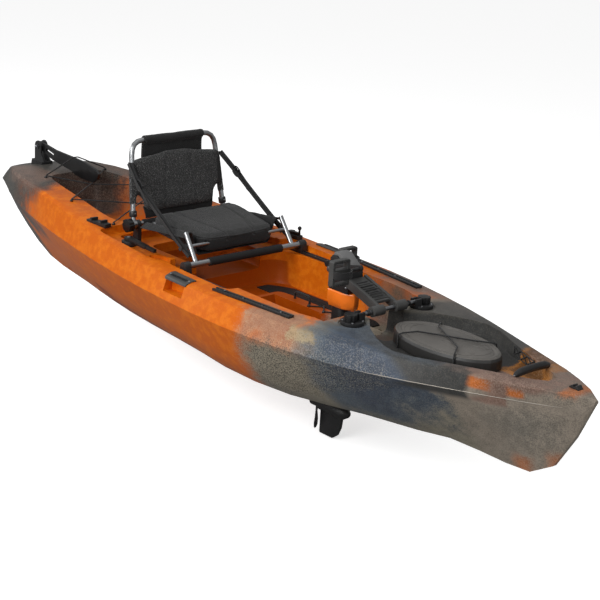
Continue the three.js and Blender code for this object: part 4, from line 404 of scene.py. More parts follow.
@dataclass(frozen=True)
class Marbled(Finish):
    """Rotomoulded plastic whose colours run into each other along the hull."""

    amber: Colour = field(default_factory=lambda: tone("DE8A2C"))
    slate: Colour = field(default_factory=lambda: tone("454442"))
    taupe: Colour = field(default_factory=lambda: tone("8C8276"))
    brown: Colour = field(default_factory=lambda: tone("6A4F42"))
    charcoal: Colour = field(default_factory=lambda: tone("414140"))
    grain: float = 210.0
    bow_well: Patch = Patch((0.77, -0.30, 0.25), (1.46, 0.30, 0.372), tone("414140"), 0.02, 0.0, 1.0)
    # The cockpit's recess in a darker, deeper orange: painted shade.
    cockpit_painted_shade: Patch = Patch((-0.66, -0.262, -0.1), (0.80, 0.262, 0.305), tone("A34403"), 0.004, 0.03, 0.9)

    def patches(self) -> list[Patch]:
        """The patches, each painted over those before it."""
        rust, tan, mauve, umber = tone("BE6A30"), tone("A79473"), tone("7F675C"), tone("5B4238")
        olive, steel_blue, ink = tone("8B8475"), tone("56606A"), tone("414B5B")
        return [
            Patch((-2.0, -1, -0.1), (-1.36, 1, 0.6), self.slate, 0.14, 0.22),
            Patch((-2.0, -0.30, 0.24), (-1.06, 0.5, 0.6), self.slate, 0.12, 0.16),
            Patch((-1.9, -0.5, 0.40), (-1.05, 0.6, 0.6), self.slate, 0.12, 0.14, 0.8),
            Patch((-1.36, -0.26, 0.26), (-0.66, 0.28, 0.435), umber, 0.16, 0.16, 0.55),
            Patch((-1.30, 0.20, 0.26), (-0.60, 0.60, 0.60), self.brown, 0.12, 0.16, 0.7),
            Patch((-1.75, -0.40, 0.44), (-1.15, -0.10, 0.6), mauve, 0.08, 0.12, 0.7),
            Patch((0.53, -0.6, -0.1), (2.0, 0.6, 0.325), olive, 0.14, 0.14),
            Patch((0.80, -0.6, 0.30), (2.0, 0.6, 0.6), olive, 0.07, 0.10),
            Patch((0.52, -0.44, 0.325), (0.78, -0.30, 0.45), olive, 0.07, 0.14, 0.6),
            Patch((0.47, 0.28, -0.1), (2.0, 0.6, 0.6), mauve, 0.12, 0.16),
            Patch((0.84, -0.6, -0.1), (1.36, -0.14, 0.6), steel_blue, 0.12, 0.14),
            Patch((0.98, -0.6, 0.02), (1.30, -0.20, 0.34), ink, 0.12, 0.16, 0.75),
            Patch((0.90, -0.6, 0.30), (1.36, -0.26, 0.6), ink, 0.06, 0.10, 0.7),
            Patch((1.36, -0.6, -0.1), (2.0, 0.6, 0.6), self.taupe, 0.07, 0.12),
            Patch((0.86, 0.10, 0.30), (1.40, 0.6, 0.6), tone("504E4B"), 0.06, 0.10, 0.9),
            Patch((1.26, -0.6, -0.1), (1.42, -0.1, 0.10), ink, 0.07, 0.12, 0.7),
            Patch((1.50, -0.6, 0.05), (1.74, -0.04, 0.24), tone("6A6862"), 0.14, 0.16, 0.6),
            Patch((0.74, -0.6, 0.322), (0.87, -0.36, 0.372), tan, 0.02, 0.07, 0.8),
            Patch((1.27, -0.5, 0.29), (1.385, -0.18, 0.345), umber, 0.03, 0.09, 0.8),
            Patch((1.375, -0.42, 0.314), (1.625, -0.12, 0.351), rust, 0.014, 0.012, 0.95),
            Patch((1.53, -0.4, -0.1), (1.61, 0.3, 0.06), rust, 0.06, 0.06, 0.6),
            Patch((1.67, -0.4, -0.1), (1.75, 0.3, 0.10), rust, 0.05, 0.05, 0.55),
            Patch((1.34, -0.20, 0.348), (1.95, 0.30, 0.6), mauve, 0.03, 0.05),
            Patch((1.74, -0.1, 0.335), (1.80, 0.1, 0.385), rust, 0.03, 0.05, 0.7),
            Patch((0.775, -0.285, 0.262), (1.44, 0.285, 0.361), self.charcoal, 0.025, 0.01),
            Patch((1.395, -0.17, 0.262), (1.56, 0.17, 0.358), mauve, 0.02, 0.03),
            Patch((1.38, 0.05, 0.25), (1.60, 0.20, 0.352), tone("B4742C"), 0.03, 0.08, 0.85),
            Patch((1.40, 0.08, 0.25), (1.54, 0.20, 0.352), tone("2A211C"), 0.02, 0.10, 0.7),
        ]

    def write(self, tree: Tree) -> None:
        """Writes the nodes."""
        place = tree.place()
        x, y, z = tree.add("SeparateXYZ", {0: place}).outputs
        drift = tree.add("TexNoise", {"Vector": place, "Scale": 4.6, "Detail": 3.0, "Roughness": 0.5})
        lean = tree.add("SeparateColor", {0: drift.outputs["Color"]}).outputs
        speck = tree.noise(place, self.grain, 1, 0.6)
        coarse = tree.noise(place, 30, 4, 0.6)
        colour = tree.mix(tree.step(coarse, 0.40, 0.65), tone("CB6008"), tone("D87010"))
        colour = tree.mix(tree.times(tree.step(coarse, 0.60, 0.74), 0.12), colour, self.amber)
        dark_share = None
        still = (0.5, 0.5, 0.5)
        # Paints the cockpit's recessed walls and floor darker: painted shade.
        colour = tree.mix(self.share(tree, self.cockpit_painted_shade, (x, y, z), still, 0.5), colour, self.cockpit_painted_shade.colour)
        fray = tree.plus(tree.times(coarse, 0.55), tree.times(speck, 0.45))
        for patch in self.patches():
            inside = self.share(tree, patch, (x, y, z), lean, fray)
            dark_share = inside if dark_share is None else tree.math("MAXIMUM", dark_share, inside)
            clouds = tree.step(coarse, 0.35, 0.68)
            cloudy = tree.mix(clouds, scaled(patch.colour, 0.86), scaled(patch.colour, 1.1))
            colour = tree.mix(inside, colour, cloudy)
        smooth = tree.times(tree.step(z, 0.33, 0.30), tree.step(y, 0.30, 0.26))
        well = tree.times(smooth, tree.step(y, -0.29, -0.25))
        grainy = tree.times(dark_share, tree.minus(1.0, tree.times(well, 0.75)))
        calm = tree.minus(1.0, tree.times(tree.step(z, 0.25, 0.33), 0.62))
        quiet = self.share(tree, self.bow_well, (x, y, z), still, 0.5)
        calm = tree.times(calm, tree.minus(1.0, tree.times(quiet, 0.8)))
        grainy = tree.plus(tree.times(grainy, calm), 0.05)
        bright = tree.times(tree.step(speck, 0.53, 0.62), tree.times(grainy, 0.42))
        colour = tree.mix(bright, colour, tone("B5AA95"))
        dark = tree.times(tree.step(speck, 0.48, 0.39), tree.times(grainy, 0.72))
        colour = tree.mix(dark, colour, tone("1E1E1E"))
        scraped = tree.add("Mapping", {"Vector": place, "Scale": (2.0, 14.0, 30.0)}).outputs[0]
        scuff = tree.step(tree.noise(scraped, 9, 4, 0.7), 0.66, 0.78)
        under = tree.times(tree.step(z, 0.05, 0.0), tree.times(scuff, 0.25))
        colour = tree.mix(under, colour, tone("A79B8A"))
        rough = tree.plus(tree.times(coarse, 0.12), self.roughness - 0.06)
        waves = tree.plus(tree.times(speck, 0.25), tree.times(tree.noise(place, 7, 2), 1.6))
        tree.surface({"Base Color": colour, "Roughness": rough, "Specular IOR Level": 0.14,
                      "Normal": tree.bump(waves, 0.35, 0.0010)})

    @staticmethod
    def share(tree: Tree, patch: Patch, place: Sequence, lean: Sequence, fray: Value) -> Socket:
        """How much of a patch shows at a point.

        Args:
            tree: the material's tree.
            patch: the patch.
            place: the point's three coordinates.
            lean: three slow noises that bend the patch's sides.
            fray: a finer noise that dithers them.

        Returns:
            A socket from 0 to 1.
        """
        inside = None
        for part, wander, low, high in zip(place, lean, patch.low, patch.high):
            bend = tree.times(tree.minus(wander, 0.5), 2 * patch.ragged)
            loose = tree.times(tree.minus(fray, 0.5), 1.4 * patch.ragged)
            moved = tree.plus(part, tree.plus(bend, loose))
            both = tree.times(
                tree.step(moved, low - patch.edge / 2, low + patch.edge / 2),
                tree.step(moved, high + patch.edge / 2, high - patch.edge / 2),
            )
            inside = both if inside is None else tree.times(inside, both)
        return tree.times(inside, patch.strength)


class Finishes:
    """Every finish on the boat."""

    HULL = Marbled("marbled_hull", tone("CE7221"), 0.36)
    BLACK = Moulded("satin_black", tone("1A1A1B"), 0.42)
    DEEP = Moulded("deep_black", tone("0F0F10"), 0.38)
    GREY = Moulded("mid_grey", tone("3B3B3A"), 0.45)
    LID = Moulded("lid_grey", tone("55524E"), 0.5, 420.0, 0.0004)
    # The lid's steep sides in a darker copy of its grey: painted shade.
    LID_SIDE = Moulded("lid_side", tone("242322"), 0.5, 420.0, 0.0004)
    COVER = Moulded("cover_grey", tone("5E5E5E"), 0.5)
    COLLAR = Moulded("gloss_orange", tone("E0701C"), 0.3, 900.0, 0.00008, 0.3)
    TUBE = Metal("drawn_tube", tone("A6A8AA"), 0.32)
    STEEL = Metal("bright_steel", tone("8E9093"), 0.34, (400.0, 6.0, 400.0))
    MESH = Woven("seat_mesh", tone("1B1B1C"), 0.8, 420.0, 0.0012, tone("8A8A88"), 260.0)
    CLOTH = Woven("seat_cloth", tone("171717"), 0.66, 420.0, 0.0008, tone("484848"), 300.0)
    SLING = Woven("sling_cloth", tone("0D0D0E"), 0.85, 520.0, 0.0004, tone("161617"))
    HEADER = Woven("header_cloth", tone("0F0F10"), 0.85, 520.0, 0.0005, tone("1C1C1D"))
    BINDING = Webbing("edge_binding", tone("0C0C0D"), 0.7)
    STRAP = Webbing("flat_webbing", tone("0E0E0F"), 0.72)
    CORD = Webbing("braided_cord", tone("0D0D0E"), 0.6, 700.0)
    THREAD = Webbing("sewing_thread", tone("343436"), 0.6, 900.0)
    FOAM = Foam("closed_foam", tone("121213"), 0.85)
    PAD = Foam("floor_foam", tone("1A1A1B"), 0.9)


# Mesh tools


def linked(name: str, data: bpy.types.ID) -> Piece:
    """A new object, linked to the scene.

    Args:
        name: the object's name.
        data: its mesh, lamp or camera.

    Returns:
        The object.
    """
    made = bpy.data.objects.new(name, data)
    bpy.context.scene.collection.objects.link(made)
    return made


def make_object(name: str, vertices: Iterable, faces: Iterable) -> Piece:
    """A mesh object from lists.

    Args:
        name: the object's name.
        vertices: places in metres.
        faces: lists of vertex numbers.

    Returns:
        The new object, linked to the scene.
    """
    mesh = bpy.data.meshes.new(name)
    mesh.from_pydata([tuple(v) for v in vertices], [], [tuple(f) for f in faces])
    mesh.validate()
    return linked(name, mesh)


def evaluated(piece: Piece) -> bpy.types.Mesh:
    """A new mesh of an object as its modifiers leave it."""
    view = bpy.context.evaluated_depsgraph_get()
    return bpy.data.meshes.new_from_object(piece.evaluated_get(view))


def soften(piece: Piece, angle: float, bevel: float = 0.0, turn: bool = True) -> Piece:
    """Shades a mesh smoothly below an angle, after an optional fine bevel.

    Args:
        piece: the object.
        angle: the sharpest angle that is still smooth, in degrees.
        bevel: the width of the bevel in metres, or 0 for none.
        turn: whether its faces are first turned to point out.

    Returns:
        The same object.
    """
    mesh = piece.data
    work = bmesh.new()
    work.from_mesh(mesh)
    bmesh.ops.remove_doubles(work, verts=work.verts, dist=2e-6)
    bmesh.ops.dissolve_degenerate(work, edges=work.edges, dist=1e-6)
    if turn:
        bmesh.ops.recalc_face_normals(work, faces=work.faces)
    if bevel:
        level = math.radians(0.5)
        flat = [edge for edge in work.edges if edge.is_manifold and edge.calc_face_angle(0) < level]
        bmesh.ops.dissolve_edges(work, edges=flat, use_verts=False, use_face_split=False)
        limit = math.radians(angle)
        sharp = [edge for edge in work.edges if edge.is_manifold and edge.calc_face_angle(0) > limit]
        bmesh.ops.bevel(work, geom=sharp, offset=bevel, segments=2, profile=0.6, affect="EDGES",
                        clamp_overlap=True)
        bmesh.ops.triangulate(work, faces=[face for face in work.faces if len(face.verts) > 4])
    work.to_mesh(mesh)
    work.free()
    for polygon in mesh.polygons:
        polygon.use_smooth = True
    mesh.set_sharp_from_angle(angle=math.radians(angle + 8 if bevel else angle))
    mesh.update()
    return piece


def copy_of(node: str, name: str, angle: float, bevel: float = 0.0) -> Piece:
    """A merged, softly shaded copy of a CAD node.

    Args:
        node: the node's name.
        name: the copy's name.
        angle: the sharpest angle that is still smooth, in degrees.
        bevel: the width of its bevels in metres.

    Returns:
        The copy, at the origin.
    """
    source = bpy.data.objects[node]
    mesh = source.data.copy()
    mesh.name = name
    mesh.materials.clear()
    for layer in list(mesh.attributes):
        if layer.name == "custom_normal":
            mesh.attributes.remove(layer)
    return soften(linked(name, mesh), angle, bevel, turn=False)


def even_path(points: Sequence, spacing: float, closed: bool = False) -> np.ndarray:
    """A smooth path through points, resampled at an even spacing.

    Args:
        points: the places it passes through.
        spacing: the distance between samples.
        closed: whether it ends where it starts.

    Returns:
        An array of places.
    """
    given = np.array(points, float)
    if closed:
        given = np.vstack([given[-1], given, given[:2]])
    else:
        given = np.vstack([2 * given[0] - given[1], given, 2 * given[-1] - given[-2]])
    dense = []
    for a, b, c, d in zip(given[:-3], given[1:-2], given[2:-1], given[3:]):
        for t in np.linspace(0, 1, 24, endpoint=False):
            squared, cubed = 2 * a - 5 * b + 4 * c - d, 3 * b - a - 3 * c + d
            dense.append(0.5 * (2 * b + (c - a) * t + squared * t ** 2 + cubed * t ** 3))
    dense.append(given[-2])
    return spaced(np.array(dense), spacing)


def spaced(line: np.ndarray, spacing: float) -> np.ndarray:
    """A line resampled at an even spacing.

    Args:
        line: its places, close together.
        spacing: the distance between samples.

    Returns:
        An array of places.
    """
    run = np.concatenate([[0], np.cumsum(np.linalg.norm(np.diff(line, axis=0), axis=1))])
    count = max(2, int(round(run[-1] / spacing)) + 1)
    wanted = np.linspace(0, run[-1], count)
    return np.stack([np.interp(wanted, run, line[:, k]) for k in range(3)], axis=1)


def sweep(name: str, path: np.ndarray, profile: Sequence, up: Sequence | None = None, closed: bool = False,
          grow: Callable[[float], float] = lambda share: 1.0) -> Piece:
    """A profile carried along a path.

    Args:
        name: the object's name.
        path: the places it passes through.
        profile: the section's outline, across and up.
        up: the way the section's second axis points, or None to turn as little as it can.
        closed: whether the path is a ring.
        grow: how large the section is at each share of the path.

    Returns:
        The swept object.
    """
    count, sides = len(path), len(profile)
    ahead = np.roll(path, -1, axis=0) - np.roll(path, 1, axis=0) if closed else np.gradient(path, axis=0)
    ahead /= np.linalg.norm(ahead, axis=1)[:, None]
    across = np.cross(ahead[0], (0.31, 0.17, 0.93))
    rows = []
    for i, (centre, tangent) in enumerate(zip(path, ahead)):
        if up is not None:
            across = np.cross(np.array(up, float), tangent)
        across = across - tangent * np.dot(across, tangent)
        across /= np.linalg.norm(across)
        rise = np.cross(tangent, across)
        size = grow(i / max(1, count - 1))
        rows += [centre + size * (a * across + b * rise) for a, b in profile]
    faces = []
    for i in range(count if closed else count - 1):
        for k in range(sides):
            a, b = i * sides + k, i * sides + (k + 1) % sides
            c, d = (a + sides) % (count * sides), (b + sides) % (count * sides)
            faces.append((a, b, d, c))
    if not closed:
        faces += [tuple(range(sides))[::-1], tuple((count - 1) * sides + k for k in range(sides))]
    return soften(make_object(name, rows, faces), 50)


def ring(radius: float, sides: int, flat: float = 1.0) -> list[Pair]:
    """A round or oval section.

    Args:
        radius: half its width.
        sides: how many sides it has.
        flat: its height as a share of its width.

    Returns:
        Its outline.
    """
    turns = [2 * math.pi * k / sides for k in range(sides)]
    return [(radius * math.cos(t), radius * flat * math.sin(t)) for t in turns]


def tape(width: float, thickness: float) -> list[Pair]:
    """The section of a flat webbing with rounded edges.

    Args:
        width: its width.
        thickness: its thickness.

    Returns:
        Its outline.
    """
    a, b = width / 2, thickness / 2
    return [(-a + b, -b), (0, -b * 0.8), (a - b, -b), (a, 0), (a - b, b), (0, b * 0.8), (-a + b, b), (-a, 0)]


def revolve(name: str, outline: Sequence, centre: Point, axis: str, sides: int) -> Piece:
    """A closed outline of radius and height, turned about an axis.

    Args:
        name: the object's name.
        outline: radius and height, from the axis and back to it.
        centre: where height 0 lies on the axis.
        axis: X, Y or Z.
        sides: how many sides it has.

    Returns:
        The turned object.
    """
    places, faces = [], []
    order = {"X": (2, 0, 1), "Y": (1, 2, 0), "Z": (0, 1, 2)}[axis]
    for k in range(sides):
        turn = 2 * math.pi * k / sides
        for radius, height in outline:
            local = (radius * math.cos(turn), radius * math.sin(turn), height)
            places.append([local[order[i]] + centre[i] for i in range(3)])
    rows = len(outline)
    for k in range(sides):
        for i in range(rows - 1):
            a, b = k * rows + i, ((k + 1) % sides) * rows + i
            faces.append((a, b, b + 1, a + 1))
    return soften(make_object(name, places, faces), 35)


def merged(name: str, parts: Sequence[Piece]) -> Piece:
    """Several objects as one.

    Args:
        name: the new object's name.
        parts: the objects, which go.

    Returns:
        The joined object.
    """
    places, faces, smooth, count = [], [], [], 0
    for part in parts:
        places += [tuple(part.matrix_world @ v.co) for v in part.data.vertices]
        faces += [tuple(count + i for i in p.vertices) for p in part.data.polygons]
        smooth += [p.use_smooth for p in part.data.polygons]
        count += len(part.data.vertices)
    for part in parts:
        mesh = part.data
        bpy.data.objects.remove(part)
        bpy.data.meshes.remove(mesh)
    whole = make_object(name, places, faces)
    for polygon, value in zip(whole.data.polygons, smooth):
        polygon.use_smooth = value
    whole.data.set_sharp_from_angle(angle=math.radians(38))
    return whole


def give(piece: Piece, finish: Finish, body: str | None, slot: str, *nodes: str) -> Piece:
    """Dresses a finished piece and says where it belongs.

    Args:
        piece: the object, at the origin.
        finish: its finish.
        body: the body it rides on, or None for a piece that bends between two.
        slot: the record's material slot; not used.
        nodes: the CAD nodes it stands for.

    Returns:
        The same object.
    """
    piece.data.materials.clear()
    piece.data.materials.append(finish.material())
    if body:
        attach(piece, body)
    if nodes:
        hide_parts(*nodes)
    log.info("%s: %d faces, %s", piece.name, len(piece.data.polygons), finish.name)
    return piece


def dress(node: str, finish: Finish, body: str, slot: str, angle: float, bevel: float = 0.0) -> Piece:
    """A smooth copy of a CAD node that stands for it.

    Args:
        node: the node's name.
        finish: its finish.
        body: the body it rides on.
        slot: the record's material slot.
        angle: the sharpest angle that is still smooth, in degrees.
        bevel: the width of its bevels in metres.

    Returns:
        The copy.
    """
    return give(copy_of(node, node + "_skin", angle, bevel), finish, body, slot, node)


# What repeats


class Repeat:
    """Small things set along a line or at points, by Geometry Nodes."""

    def __init__(self, name: str, finish: Finish) -> None:
        """Starts an empty tree with a geometry input and output.

        Args:
            name: the tree's name.
            finish: the finish of what it makes.
        """
        self.tree = bpy.data.node_groups.new(name, "GeometryNodeTree")
        self.finish = finish
        self.sizes: dict[str, float] = {}
        self.tree.interface.new_socket("Geometry", in_out="INPUT", socket_type="NodeSocketGeometry")
        self.tree.interface.new_socket("Geometry", in_out="OUTPUT", socket_type="NodeSocketGeometry")
        self.inlet = self.tree.nodes.new("NodeGroupInput")

    def size(self, name: str, value: float) -> Socket:
        """A named length that the modifier sets.

        Args:
            name: the input's name.
            value: its value in metres.

        Returns:
            The input's socket.
        """
        self.tree.interface.new_socket(name, in_out="INPUT", socket_type="NodeSocketFloat")
        self.sizes[name] = value
        return self.inlet.outputs[name]

    def node(self, kind: str, values: dict | None = None, **settings) -> bpy.types.Node:
        """Adds a node.

        Args:
            kind: the node's full type name.
            values: inputs by name or number, each a value or a socket.
            settings: attributes of the node.

        Returns:
            The node.
        """
        made = self.tree.nodes.new(kind)
        for key, value in settings.items():
            setattr(made, key, value)
        for key, value in (values or {}).items():
            if isinstance(value, Socket):
                self.tree.links.new(value, made.inputs[key])
            else:
                made.inputs[key].default_value = value
        return made

    def end(self, points: Socket, item: Socket, rotation: Socket) -> None:
        """Sets the item at the points, then makes the copies real and dresses them.

        Args:
            points: the geometry whose points are used.
            item: the geometry that is repeated.
            rotation: the rotation at each point.
        """
        copies = self.node("GeometryNodeInstanceOnPoints",
                           {"Points": points, "Instance": item, "Rotation": rotation})
        real = self.node("GeometryNodeRealizeInstances", {0: copies.outputs[0]})
        smooth = self.node("GeometryNodeSetShadeSmooth", {0: real.outputs[0]})
        painted = {"Geometry": smooth.outputs[0], "Material": self.finish.material()}
        dressed = self.node("GeometryNodeSetMaterial", painted)
        outlet = self.tree.nodes.new("NodeGroupOutput")
        self.tree.links.new(dressed.outputs[0], outlet.inputs[0])

    def made_from(self, name: str, carrier: Piece) -> Piece:
        """Runs the tree on a carrier mesh, which then goes.

        Args:
            name: the finished piece's name.
            carrier: the mesh whose edges or points carry the copies.

        Returns:
            A plain mesh object.
        """
        modifier = carrier.modifiers.new(name, "NODES")
        modifier.node_group = self.tree
        for item in self.tree.interface.items_tree:
            if item.item_type == "SOCKET" and item.in_out == "INPUT" and item.name in self.sizes:
                modifier[item.identifier] = float(self.sizes[item.name])
        mesh = evaluated(carrier)
        mesh.name = name
        carrier.modifiers.remove(modifier)
        bpy.data.objects.remove(carrier)
        return linked(name, mesh)


def line_carrier(name: str, path: np.ndarray) -> Piece:
    """A mesh of edges along a path.

    Args:
        name: the object's name.
        path: its places.

    Returns:
        The object.
    """
    mesh = bpy.data.meshes.new(name)
    edges = [(i, i + 1) for i in range(len(path) - 1)]
    mesh.from_pydata([tuple(p) for p in path], edges, [])
    return linked(name, mesh)


def stitch_row(name: str, path: np.ndarray, finish: Finish) -> Piece:
    """A row of stitches along a seam.

    Args:
        name: the piece's name.
        path: the seam's places.
        finish: the thread's finish.

    Returns:
        The stitches as one mesh.
    """
    work = Repeat(name + "_tree", finish)
    gap, long = work.size("Spacing", STITCH_GAP), work.size("Length", STITCH_LENGTH)
    thick = work.size("Radius", STITCH_RADIUS)
    curve = work.node("GeometryNodeMeshToCurve", {0: work.inlet.outputs[0]})
    even = work.node("GeometryNodeResampleCurve", {"Curve": curve.outputs[0], "Length": gap}, mode="LENGTH")
    item = work.node("GeometryNodeMeshCylinder", {"Vertices": 6, "Radius": thick, "Depth": long})
    tangent = work.node("GeometryNodeInputTangent")
    turn = work.node("FunctionNodeAlignRotationToVector", {"Vector": tangent.outputs[0]}, axis="Z")
    work.end(even.outputs[0], item.outputs[0], turn.outputs[0])
    return work.made_from(name, line_carrier(name + "_line", path))


def rib_row(name: str, path: np.ndarray, finish: Finish, spacing: float, size: Point, body: str,
            slot: str) -> Piece:
    """Blocks with rounded tops set square across a path.

    Args:
        name: the piece's name.
        path: the places the ribs follow.
        finish: their finish.
        spacing: from one rib to the next.
        size: a rib's length along the path, its width across and its height.
        body: the body they ride on.
        slot: the record's material slot.

    Returns:
        The ribs as one mesh.
    """
    work = Repeat(name + "_tree", finish)
    gap = work.size("Spacing", spacing)
    parts = [work.size(label, value) for label, value in zip(("Along", "Across", "Height"), size)]
    curve = work.node("GeometryNodeMeshToCurve", {0: work.inlet.outputs[0]})
    even = work.node("GeometryNodeResampleCurve", {"Curve": curve.outputs[0], "Length": gap}, mode="LENGTH")
    box = work.node("ShaderNodeCombineXYZ", {0: parts[0], 1: parts[1], 2: parts[2]})
    item = work.node("GeometryNodeMeshCube",
                     {"Size": box.outputs[0], "Vertices X": 3, "Vertices Y": 3, "Vertices Z": 2})
    tangent = work.node("GeometryNodeInputTangent")
    first = work.node("FunctionNodeAlignRotationToVector", {"Vector": tangent.outputs[0]}, axis="X")
    turn = work.node("FunctionNodeAlignRotationToVector", {"Rotation": first.outputs[0], "Vector": UP},
                     axis="Z", pivot_axis="X")
    work.end(even.outputs[0], item.outputs[0], turn.outputs[0])
    return give(work.made_from(name, line_carrier(name + "_line", path)), finish, body, slot)


def screw_heads(name: str, places: Sequence[tuple[Point, Point]], finish: Finish, radius: float = 0.0045,
                height: float = 0.0022, body: str = "hull", slot: str = "steel") -> Piece:
    """Pan-head screws with a driver recess, each standing on its own face.

    Args:
        name: the piece's name.
        places: for each screw, where its foot is and the way it stands.
        finish: their finish.
        radius: a head's radius.
        height: a head's height.
        body: the body they ride on.
        slot: the record's material slot.

    Returns:
        The screws as one mesh.
    """
    mesh = bpy.data.meshes.new(name + "_points")
    mesh.from_pydata([tuple(place) for place, _ in places], [], [])
    stand = mesh.attributes.new("stand", "FLOAT_VECTOR", "POINT")
    stand.data.foreach_set("vector", [float(v) for _, way in places for v in way])
    carrier = linked(name + "_points", mesh)
    work = Repeat(name + "_tree", finish)
    wide, tall = work.size("Radius", radius), work.size("Height", height)
    rim = work.node("ShaderNodeMath", {0: wide, 1: 0.72}, operation="MULTIPLY")
    pan = {"Vertices": 16, "Side Segments": 2, "Radius Top": rim.outputs[0], "Radius Bottom": wide,
           "Depth": tall}
    head = work.node("GeometryNodeMeshCone", pan)
    recess = work.node("ShaderNodeMath", {0: wide, 1: 0.34}, operation="MULTIPLY").outputs[0]
    raised = work.node("ShaderNodeMath", {0: tall, 1: 1.06}, operation="MULTIPLY").outputs[0]
    hexagon = {"Vertices": 6, "Radius Top": recess, "Radius Bottom": recess, "Depth": raised}
    socket = work.node("GeometryNodeMeshCone", hexagon)
    both = work.node("GeometryNodeJoinGeometry")
    work.tree.links.new(head.outputs[0], both.inputs[0])
    work.tree.links.new(socket.outputs[0], both.inputs[0])
    way = work.node("GeometryNodeInputNamedAttribute", {"Name": "stand"}, data_type="FLOAT_VECTOR")
    turn = work.node("FunctionNodeAlignRotationToVector", {"Vector": way.outputs[0]}, axis="Z")
    points = work.node("GeometryNodeMeshToPoints", {0: work.inlet.outputs[0]})
    work.end(points.outputs[0], both.outputs[0], turn.outputs[0])
    return give(work.made_from(name, carrier), finish, body, slot)


# Surfaces and soft pieces


class Surface:
    """A finished surface that other pieces are laid on."""

    def __init__(self, piece: Piece) -> None:
        """Reads the surface.

        Args:
            piece: the object.
        """
        mesh = piece.data
        corners = [v.co.copy() for v in mesh.vertices]
        self.tree = BVHTree.FromPolygons(corners, [tuple(p.vertices) for p in mesh.polygons])

    def hit(self, start: Sequence, way: Sequence) -> tuple[Vector, Vector] | None:
        """Where a line first meets it.

        Args:
            start: where the line starts.
            way: where it heads.

        Returns:
            The place and the face's normal, or None.
        """
        place, normal, _, _ = self.tree.ray_cast(Vector(start), Vector(way).normalized())
        return None if place is None else (place, normal)

    def laid(self, starts: Iterable[Sequence], way: Sequence, lift: float = 0.0) -> np.ndarray:
        """A line laid on the surface.

        Args:
            starts: places above the surface, in order.
            way: how they fall on it.
            lift: how far above it the line runs.

        Returns:
            The places that met it.
        """
        found = []
        for start in starts:
            met = self.hit(start, way)
            if met:
                found.append(np.array(met[0]) - lift * np.array(Vector(way).normalized()))
        return np.array(found)


def remeshed(piece: Piece, voxel: float) -> Piece:
    """A mesh made of even small squares.

    Args:
        piece: a closed object.
        voxel: the squares' size in metres.

    Returns:
        The same object.
    """
    modifier = piece.modifiers.new("even", "REMESH")
    modifier.mode = "VOXEL"
    modifier.voxel_size = voxel
    modifier.use_smooth_shade = True
    return applied(piece)


def applied(piece: Piece) -> Piece:
    """The object with its modifiers made real.

    Args:
        piece: the object.

    Returns:
        The same object.
    """
    mesh = evaluated(piece)
    piece.modifiers.clear()
    old = piece.data
    piece.data = mesh
    bpy.data.meshes.remove(old)
    return piece


def coordinates(piece: Piece) -> np.ndarray:
    """The places of an object's vertices, as an array."""
    places = np.empty(len(piece.data.vertices) * 3)
    piece.data.vertices.foreach_get("co", places)
    return places.reshape(-1, 3)


def normals_of(piece: Piece) -> np.ndarray:
    """The normals of an object's vertices, as an array."""
    return np.array([v.normal[:] for v in piece.data.vertices])


def moved_to(piece: Piece, places: np.ndarray) -> None:
    """Moves an object's vertices.

    Args:
        piece: the object.
        places: where each one goes.
    """
    piece.data.vertices.foreach_set("co", places.reshape(-1))
    piece.data.update()


def relaxed(piece: Piece, rounds: int) -> Piece:
    """Smooths a mesh by drawing each vertex half way to its neighbours' middle.

    Args:
        piece: the object.
        rounds: how many times.

    Returns:
        The same object.
    """
    edges = np.array([e.vertices[:] for e in piece.data.edges])
    places = coordinates(piece)
    count = np.zeros(len(places))
    np.add.at(count, edges.reshape(-1), 1)
    for _ in range(rounds):
        total = np.zeros_like(places)
        np.add.at(total, edges[:, 0], places[edges[:, 1]])
        np.add.at(total, edges[:, 1], places[edges[:, 0]])
        places += 0.5 * (total / count[:, None] - places)
    moved_to(piece, places)
    return piece


def swollen(piece: Piece, pressure: float, cap: float, frames: int = 20) -> Piece:
    """Blows a soft piece up as cloth under pressure, no further than a cap.

    Args:
        piece: an evenly meshed closed object.
        pressure: the pressure inside.
        cap: the most a point may move, in metres.
        frames: how long it swells.

    Returns:
        The same object.
    """
    before = coordinates(piece)
    cloth = piece.modifiers.new("swell", "CLOTH")
    settings = cloth.settings
    settings.use_pressure = True
    settings.uniform_pressure_force = pressure
    settings.effector_weights.gravity = 0
    settings.quality = 5
    settings.tension_stiffness = 25
    settings.bending_stiffness = 2
    scene = bpy.context.scene
    for frame_number in range(1, frames + 1):
        scene.frame_set(frame_number)
    swelled = evaluated(piece)
    after = np.array([v.co[:] for v in swelled.vertices])
    bpy.data.meshes.remove(swelled)
    piece.modifiers.clear()
    scene.frame_set(1)
    step = after - before
    far = np.linalg.norm(step, axis=1)
    step *= np.minimum(1, cap / np.maximum(far, 1e-9))[:, None]
    moved_to(piece, before + step)
    return piece


def near_line(places: np.ndarray, line: np.ndarray) -> np.ndarray:
    """How far each place is from a line's samples.

    Args:
        places: the places.
        line: the line's samples, close together.

    Returns:
        One distance for each place.
    """
    best = np.full(len(places), 9.0)
    for sample in line:
        best = np.minimum(best, np.linalg.norm(places - sample, axis=1))
    return best


def drawn_in(piece: Piece, line: np.ndarray, width: float, depth: float) -> None:
    """Pulls a sewn channel into a soft piece.

    Args:
        piece: the object.
        line: where the seam runs.
        width: how wide the channel is.
        depth: how deep it is.
    """
    places, normals = coordinates(piece), normals_of(piece)
    pull = depth * np.exp(-((near_line(places, line) / width) ** 2))
    moved_to(piece, places - normals * pull[:, None])


